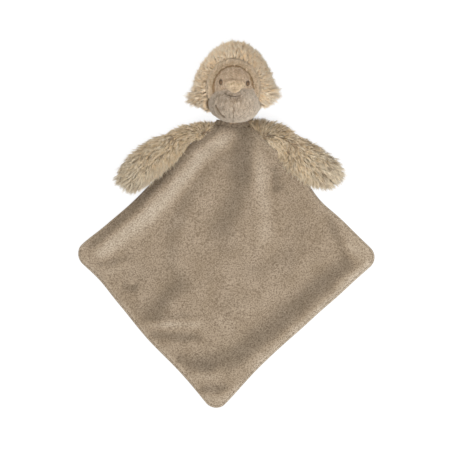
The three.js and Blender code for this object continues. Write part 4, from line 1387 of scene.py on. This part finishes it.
def make_neck():
    neck = ball("neck_skin", neck_places, 48, 112)
    dress(neck, "face_velour", ["neck_sleeve", "neck_stuffing"], "neck")
    make_gather()
    spread = (NECK_BALL_RADIUS + STITCH_LIFT) * math.sin(STITCH_RING_TURN)
    level = NECK_CENTRE[1] + NECK_BALL_RADIUS * math.cos(STITCH_RING_TURN)
    for index in range(STITCHES):
        middle = 2 * math.pi * index / STITCHES
        run = middle + np.linspace(-STITCH_HALF_TURN, STITCH_HALF_TURN, STITCH_POINTS)
        stitch = tube(f"neck_stitch_{index:02d}", round_neck(spread, spread, run, level), STITCH_RADIUS, 6)
        dress(stitch, "stitch_thread", ["neck_seam_thread"], "neck_seam")


# Arms: sleeves caught in the cloth's side seams
ARM_PILE = 0.0022
ARM_HINGES = [(-0.0574123, 0.1380111), (0.0631150, 0.1382536)]
SHOULDER_TURN = np.radians((184, -4))
SHOULDER_LENGTH = 0.031
SHOULDER_HALF_WIDTH = (0.0135, 0.0160)
SHOULDER_ROUNDING = 0.003
SEAM_WAYS = np.array([[0.778, 0.629], [-0.803, 0.596]])
ARM_Z = 0.0155
SEAM_Z = 0.0195
# How the finished arms differ from the plain ones: how much nearer the cloth they lie, further out and at the
# root, how much wider they are and how much sooner they end, and the stretches where the first and third fade
ARM_INSET = (0.0022, 0.0040)
ARM_INSET_END = (0.035, 0.068)
ARM_ROOT_INSET = (0.0058, 0.0042)
ROOT_INSET_PLACE = 0.002
ROOT_INSET_REACH = 0.020
ARM_WIDER = (0.0, 0.0024)
ARM_WIDER_END = (0.034, 0.062)
ARM_SHORTER = (-0.0015, 0.0105)
ARM_STEP = 0.001
# The stretch along an arm where it turns from the shoulder's way to its own
ARM_BEND = (-0.014, 0.008)
# How dark the deepest clumps of each arm look: painted shade, heavier on the right arm
ARM_SHADOW = (0.38, 0.62)
ARM_FUR_LENGTH = 0.0120
ARM_ROOTS = 90000
# The seeds of the hair on top of an arm and under it, and how far strands stray along each axis, with a seed
ARM_SEEDS = ((96, 98), (98, 100))
ARM_STRAY = ((1, 60), (1, 62), (0.5, 64))
STRAY_SIZE = 0.015
# Places along an arm, each with its reach, where hair grows another way: by the neck, where it is longer and
# turned up, at the seam's foot, where it is longer and turned in, and at the hinge, where it is turned in.
NECK_HAIR = (-0.026, 0.016)
NECK_HAIR_LONGER = (0.10, 0.50)
NECK_HAIR_UP = (0.5, 1.3)
FOOT_HAIR = (-0.017, 0.010)
FOOT_HAIR_LONGER = (0.5, 0.2)
FOOT_HAIR_IN = (0.9, 0.3)
HINGE_HAIR = (0.003, 0.020)
HINGE_HAIR_IN = (0.6, 1.0)
# Stretches along an arm where its hair grows to full length, starts and stops leaning to the cloth, lies back
# towards the seam, and turns paler
SHORT_ROOT = (-0.018, 0.038)
CLOTH_SIDE_START = (0.0, 0.02)
CLOTH_SIDE_END = (0.055, 0.075)
SEAM_SIDE = (0.012, SHOULDER_LENGTH)
PALE_TIP = (0.02, 0.08)


class Arm:
    """The line, width and height of one arm, measured along it from its hinge."""

    def __init__(self, side):
        self.side = side
        self.name = ("left", "right")[side]
        self.steps = np.arange(-SHOULDER_LENGTH, ARM_LENGTH + ARM_STEP / 2, ARM_STEP)
        share = np.clip(self.steps / ARM_LENGTH, 0, 1)
        turn = mix(ARM_ROOT_TURN[side], ARM_TIP_TURN[side], share)
        turn = mix(SHOULDER_TURN[side], turn, smooth(self.steps, *ARM_BEND))
        self.headings = stacked(np.cos(turn), np.sin(turn))
        line = np.cumsum(self.headings * ARM_STEP, axis=0)
        at_hinge = np.argmin(np.abs(self.steps))
        square = stacked(-self.headings[:, 1], self.headings[:, 0]) * (-1, 1)[side]
        bend = smooth(self.steps, -SHOULDER_LENGTH, 0)[:, None]
        self.acrosses = unit(mix(SEAM_WAYS[side], square, bend))
        inset = ARM_INSET[side] * smooth(self.steps, 0, ARM_ROOT_SWELL)
        inset *= 1 - smooth(self.steps, *ARM_INSET_END)
        inset += ARM_ROOT_INSET[side] * bump_at(self.steps - ROOT_INSET_PLACE, ROOT_INSET_REACH)
        self.centres = line - line[at_hinge] + ARM_HINGES[side] - square * inset[:, None]
        self.length = ARM_LENGTH - ARM_SHORTER[side]

    def along(self, values, distance):
        return np.stack([np.interp(distance, self.steps, column) for column in values.T], axis=-1)

    def half_sizes(self, distance):
        """Half the width and height of the arm, and how far its tip has closed, from 0 to 1."""
        swell = smooth(distance, 0, ARM_ROOT_SWELL)
        full = ARM_RADIUS + ARM_WIDER[self.side] * (1 - smooth(distance, *ARM_WIDER_END))
        width = mix(ARM_ROOT_HALF_WIDTH[self.side], full, swell) - ARM_PILE
        height = mix(ARM_ROOT_RADIUS, ARM_RADIUS, swell) - ARM_PILE
        width = mix(width, SHOULDER_HALF_WIDTH[self.side], smooth(-distance, 0, SHOULDER_LENGTH))
        share = np.clip((distance - self.length + ARM_TIP_LENGTH) / ARM_TIP_LENGTH, 0, 1)
        tip = np.sqrt(np.maximum(1 - share ** 2.4, 0.0004))
        before = ((SHOULDER_ROUNDING - SHOULDER_LENGTH - distance) / SHOULDER_ROUNDING).clip(0, 1)
        start = np.sqrt(np.clip(1 - before ** 2, 0.01, 1))
        return width * tip * start, height * tip * start, share

    def skin(self, distance, angle):
        """Places on the sleeve's cloth, which way is out from it, and which way the arm runs."""
        centre, heading = self.along(self.centres, distance), self.along(self.headings, distance)
        across = self.along(self.acrosses, distance)
        width, height, share = self.half_sizes(distance)
        cos, sin = np.cos(angle), np.sin(angle)
        flat = centre + across * (width * cos)[:, None]
        middle = mix(ARM_Z, SEAM_Z, smooth(-distance, 0, SHOULDER_LENGTH))
        points = np.column_stack([flat, middle + height * sin])
        out = unit(np.column_stack([across * (cos * height)[:, None], width * sin]))
        ahead = np.column_stack([heading, np.zeros(len(distance))])
        return points, unit(out * np.sqrt(1 - share ** 4)[:, None] + ahead * (share ** 2)[:, None]), ahead


def make_sleeve(arm, around=40, rows=116):
    steps = np.linspace(-SHOULDER_LENGTH, arm.length, rows)
    points, _, _ = arm.skin(np.repeat(steps, around), np.tile(turns(around), rows))
    loops = points.reshape(rows, around, 3)
    skin = closed_form(f"arm_{arm.name}_skin", loops[0].mean(axis=0), loops, loops[-1].mean(axis=0))
    nodes = [f"arm_{arm.name}_stuffing", f"shoulder_{arm.name}"]
    return dress(skin, "hood_backing", nodes)


def arm_hair(arm):
    """Roots all round one arm, with the way each strand grows, its length, its tone, and if it is on top."""
    side = arm.side
    random = np.random.default_rng(50 + side)
    distance = random.uniform(-SHOULDER_LENGTH, arm.length, ARM_ROOTS)
    angle = random.uniform(0, 2 * math.pi, ARM_ROOTS)
    width, height, share = arm.half_sizes(distance)
    kept = random.uniform(size=ARM_ROOTS) < (width + height) / (2 * (ARM_RADIUS - ARM_PILE)) + 0.15 * share
    distance, angle = distance[kept], angle[kept]
    points, normals, ahead = arm.skin(distance, angle)
    outward = np.cos(angle)
    by_neck = bump_at(distance - NECK_HAIR[0], NECK_HAIR[1]) * (outward > 0)
    at_foot = bump_at(distance - FOOT_HAIR[0], FOOT_HAIR[1]) * (outward < 0.3)
    at_hinge = bump_at(distance - HINGE_HAIR[0], HINGE_HAIR[1]) * (outward < 0.3)
    along_cloth = smooth(distance, *CLOTH_SIDE_START) * (1 - smooth(distance, *CLOTH_SIDE_END))
    along_cloth *= outward < -0.3

    lengths = ARM_FUR_LENGTH * (1 + 0.12 * random.normal(size=len(points)))
    lengths *= mix(0.42, 1.0, smooth(distance, *SHORT_ROOT)) + NECK_HAIR_LONGER[side] * by_neck
    lengths *= 1 + FOOT_HAIR_LONGER[side] * at_foot
    turned_in = HINGE_HAIR_IN[side] * at_hinge + FOOT_HAIR_IN[side] * at_foot + 0.55 * along_cloth
    inner = np.column_stack([-arm.along(arm.acrosses, distance) * turned_in[:, None], np.zeros(len(points))])
    upward = by_neck[:, None] * [0.0, NECK_HAIR_UP[side], 0.1]
    stray = np.column_stack([far * ripple(points, STRAY_SIZE, seed + side) for far, seed in ARM_STRAY])
    in_seam = smooth(-distance, *SEAM_SIDE)[:, None]
    flows = unit(ahead * (1 - 1.35 * in_seam) + 0.9 * inner + upward + 0.50 * stray)
    warm = 0.45 + 0.3 * ripple(points, TONE_PATCH, 66 + side) + 0.35 * smooth(distance, *PALE_TIP)
    return (points, normals, flows, lengths, warm), np.sin(angle) > -0.12


def make_arm(side):
    arm = Arm(side)
    pieces = [make_sleeve(arm)]
    fields, upper = arm_hair(arm)
    parts = ("top", upper, TOP_STRANDS), ("under", ~upper, UNDER_STRANDS)
    for (part, chosen, count), seed in zip(parts, ARM_SEEDS[side]):
        here = np.flatnonzero(chosen)[:count]
        shadow = np.full(len(here), ARM_SHADOW[side])
        made = fur(f"arm_{arm.name}_fur_{part}", seed, shadow, ARM_COAT, *(field[here] for field in fields))
        pieces.append(dress(made, "arm_fur", [f"arm_{arm.name}_sleeve"]))
    for piece in pieces:
        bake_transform(piece)


# The scene
bpy.context.scene.view_settings.view_transform = "Standard"
bpy.context.scene.view_settings.look = "None"
make_camera()
make_floor()
make_world(WORLD_STRENGTH)
for lamp in LAMPS:
    make_lamp(*lamp)
make_blanket()
make_neck()
make_hood()
panel, roll, bridge = make_face()
make_plush(panel, roll, bridge, make_muzzle())
make_arm(0)
make_arm(1)
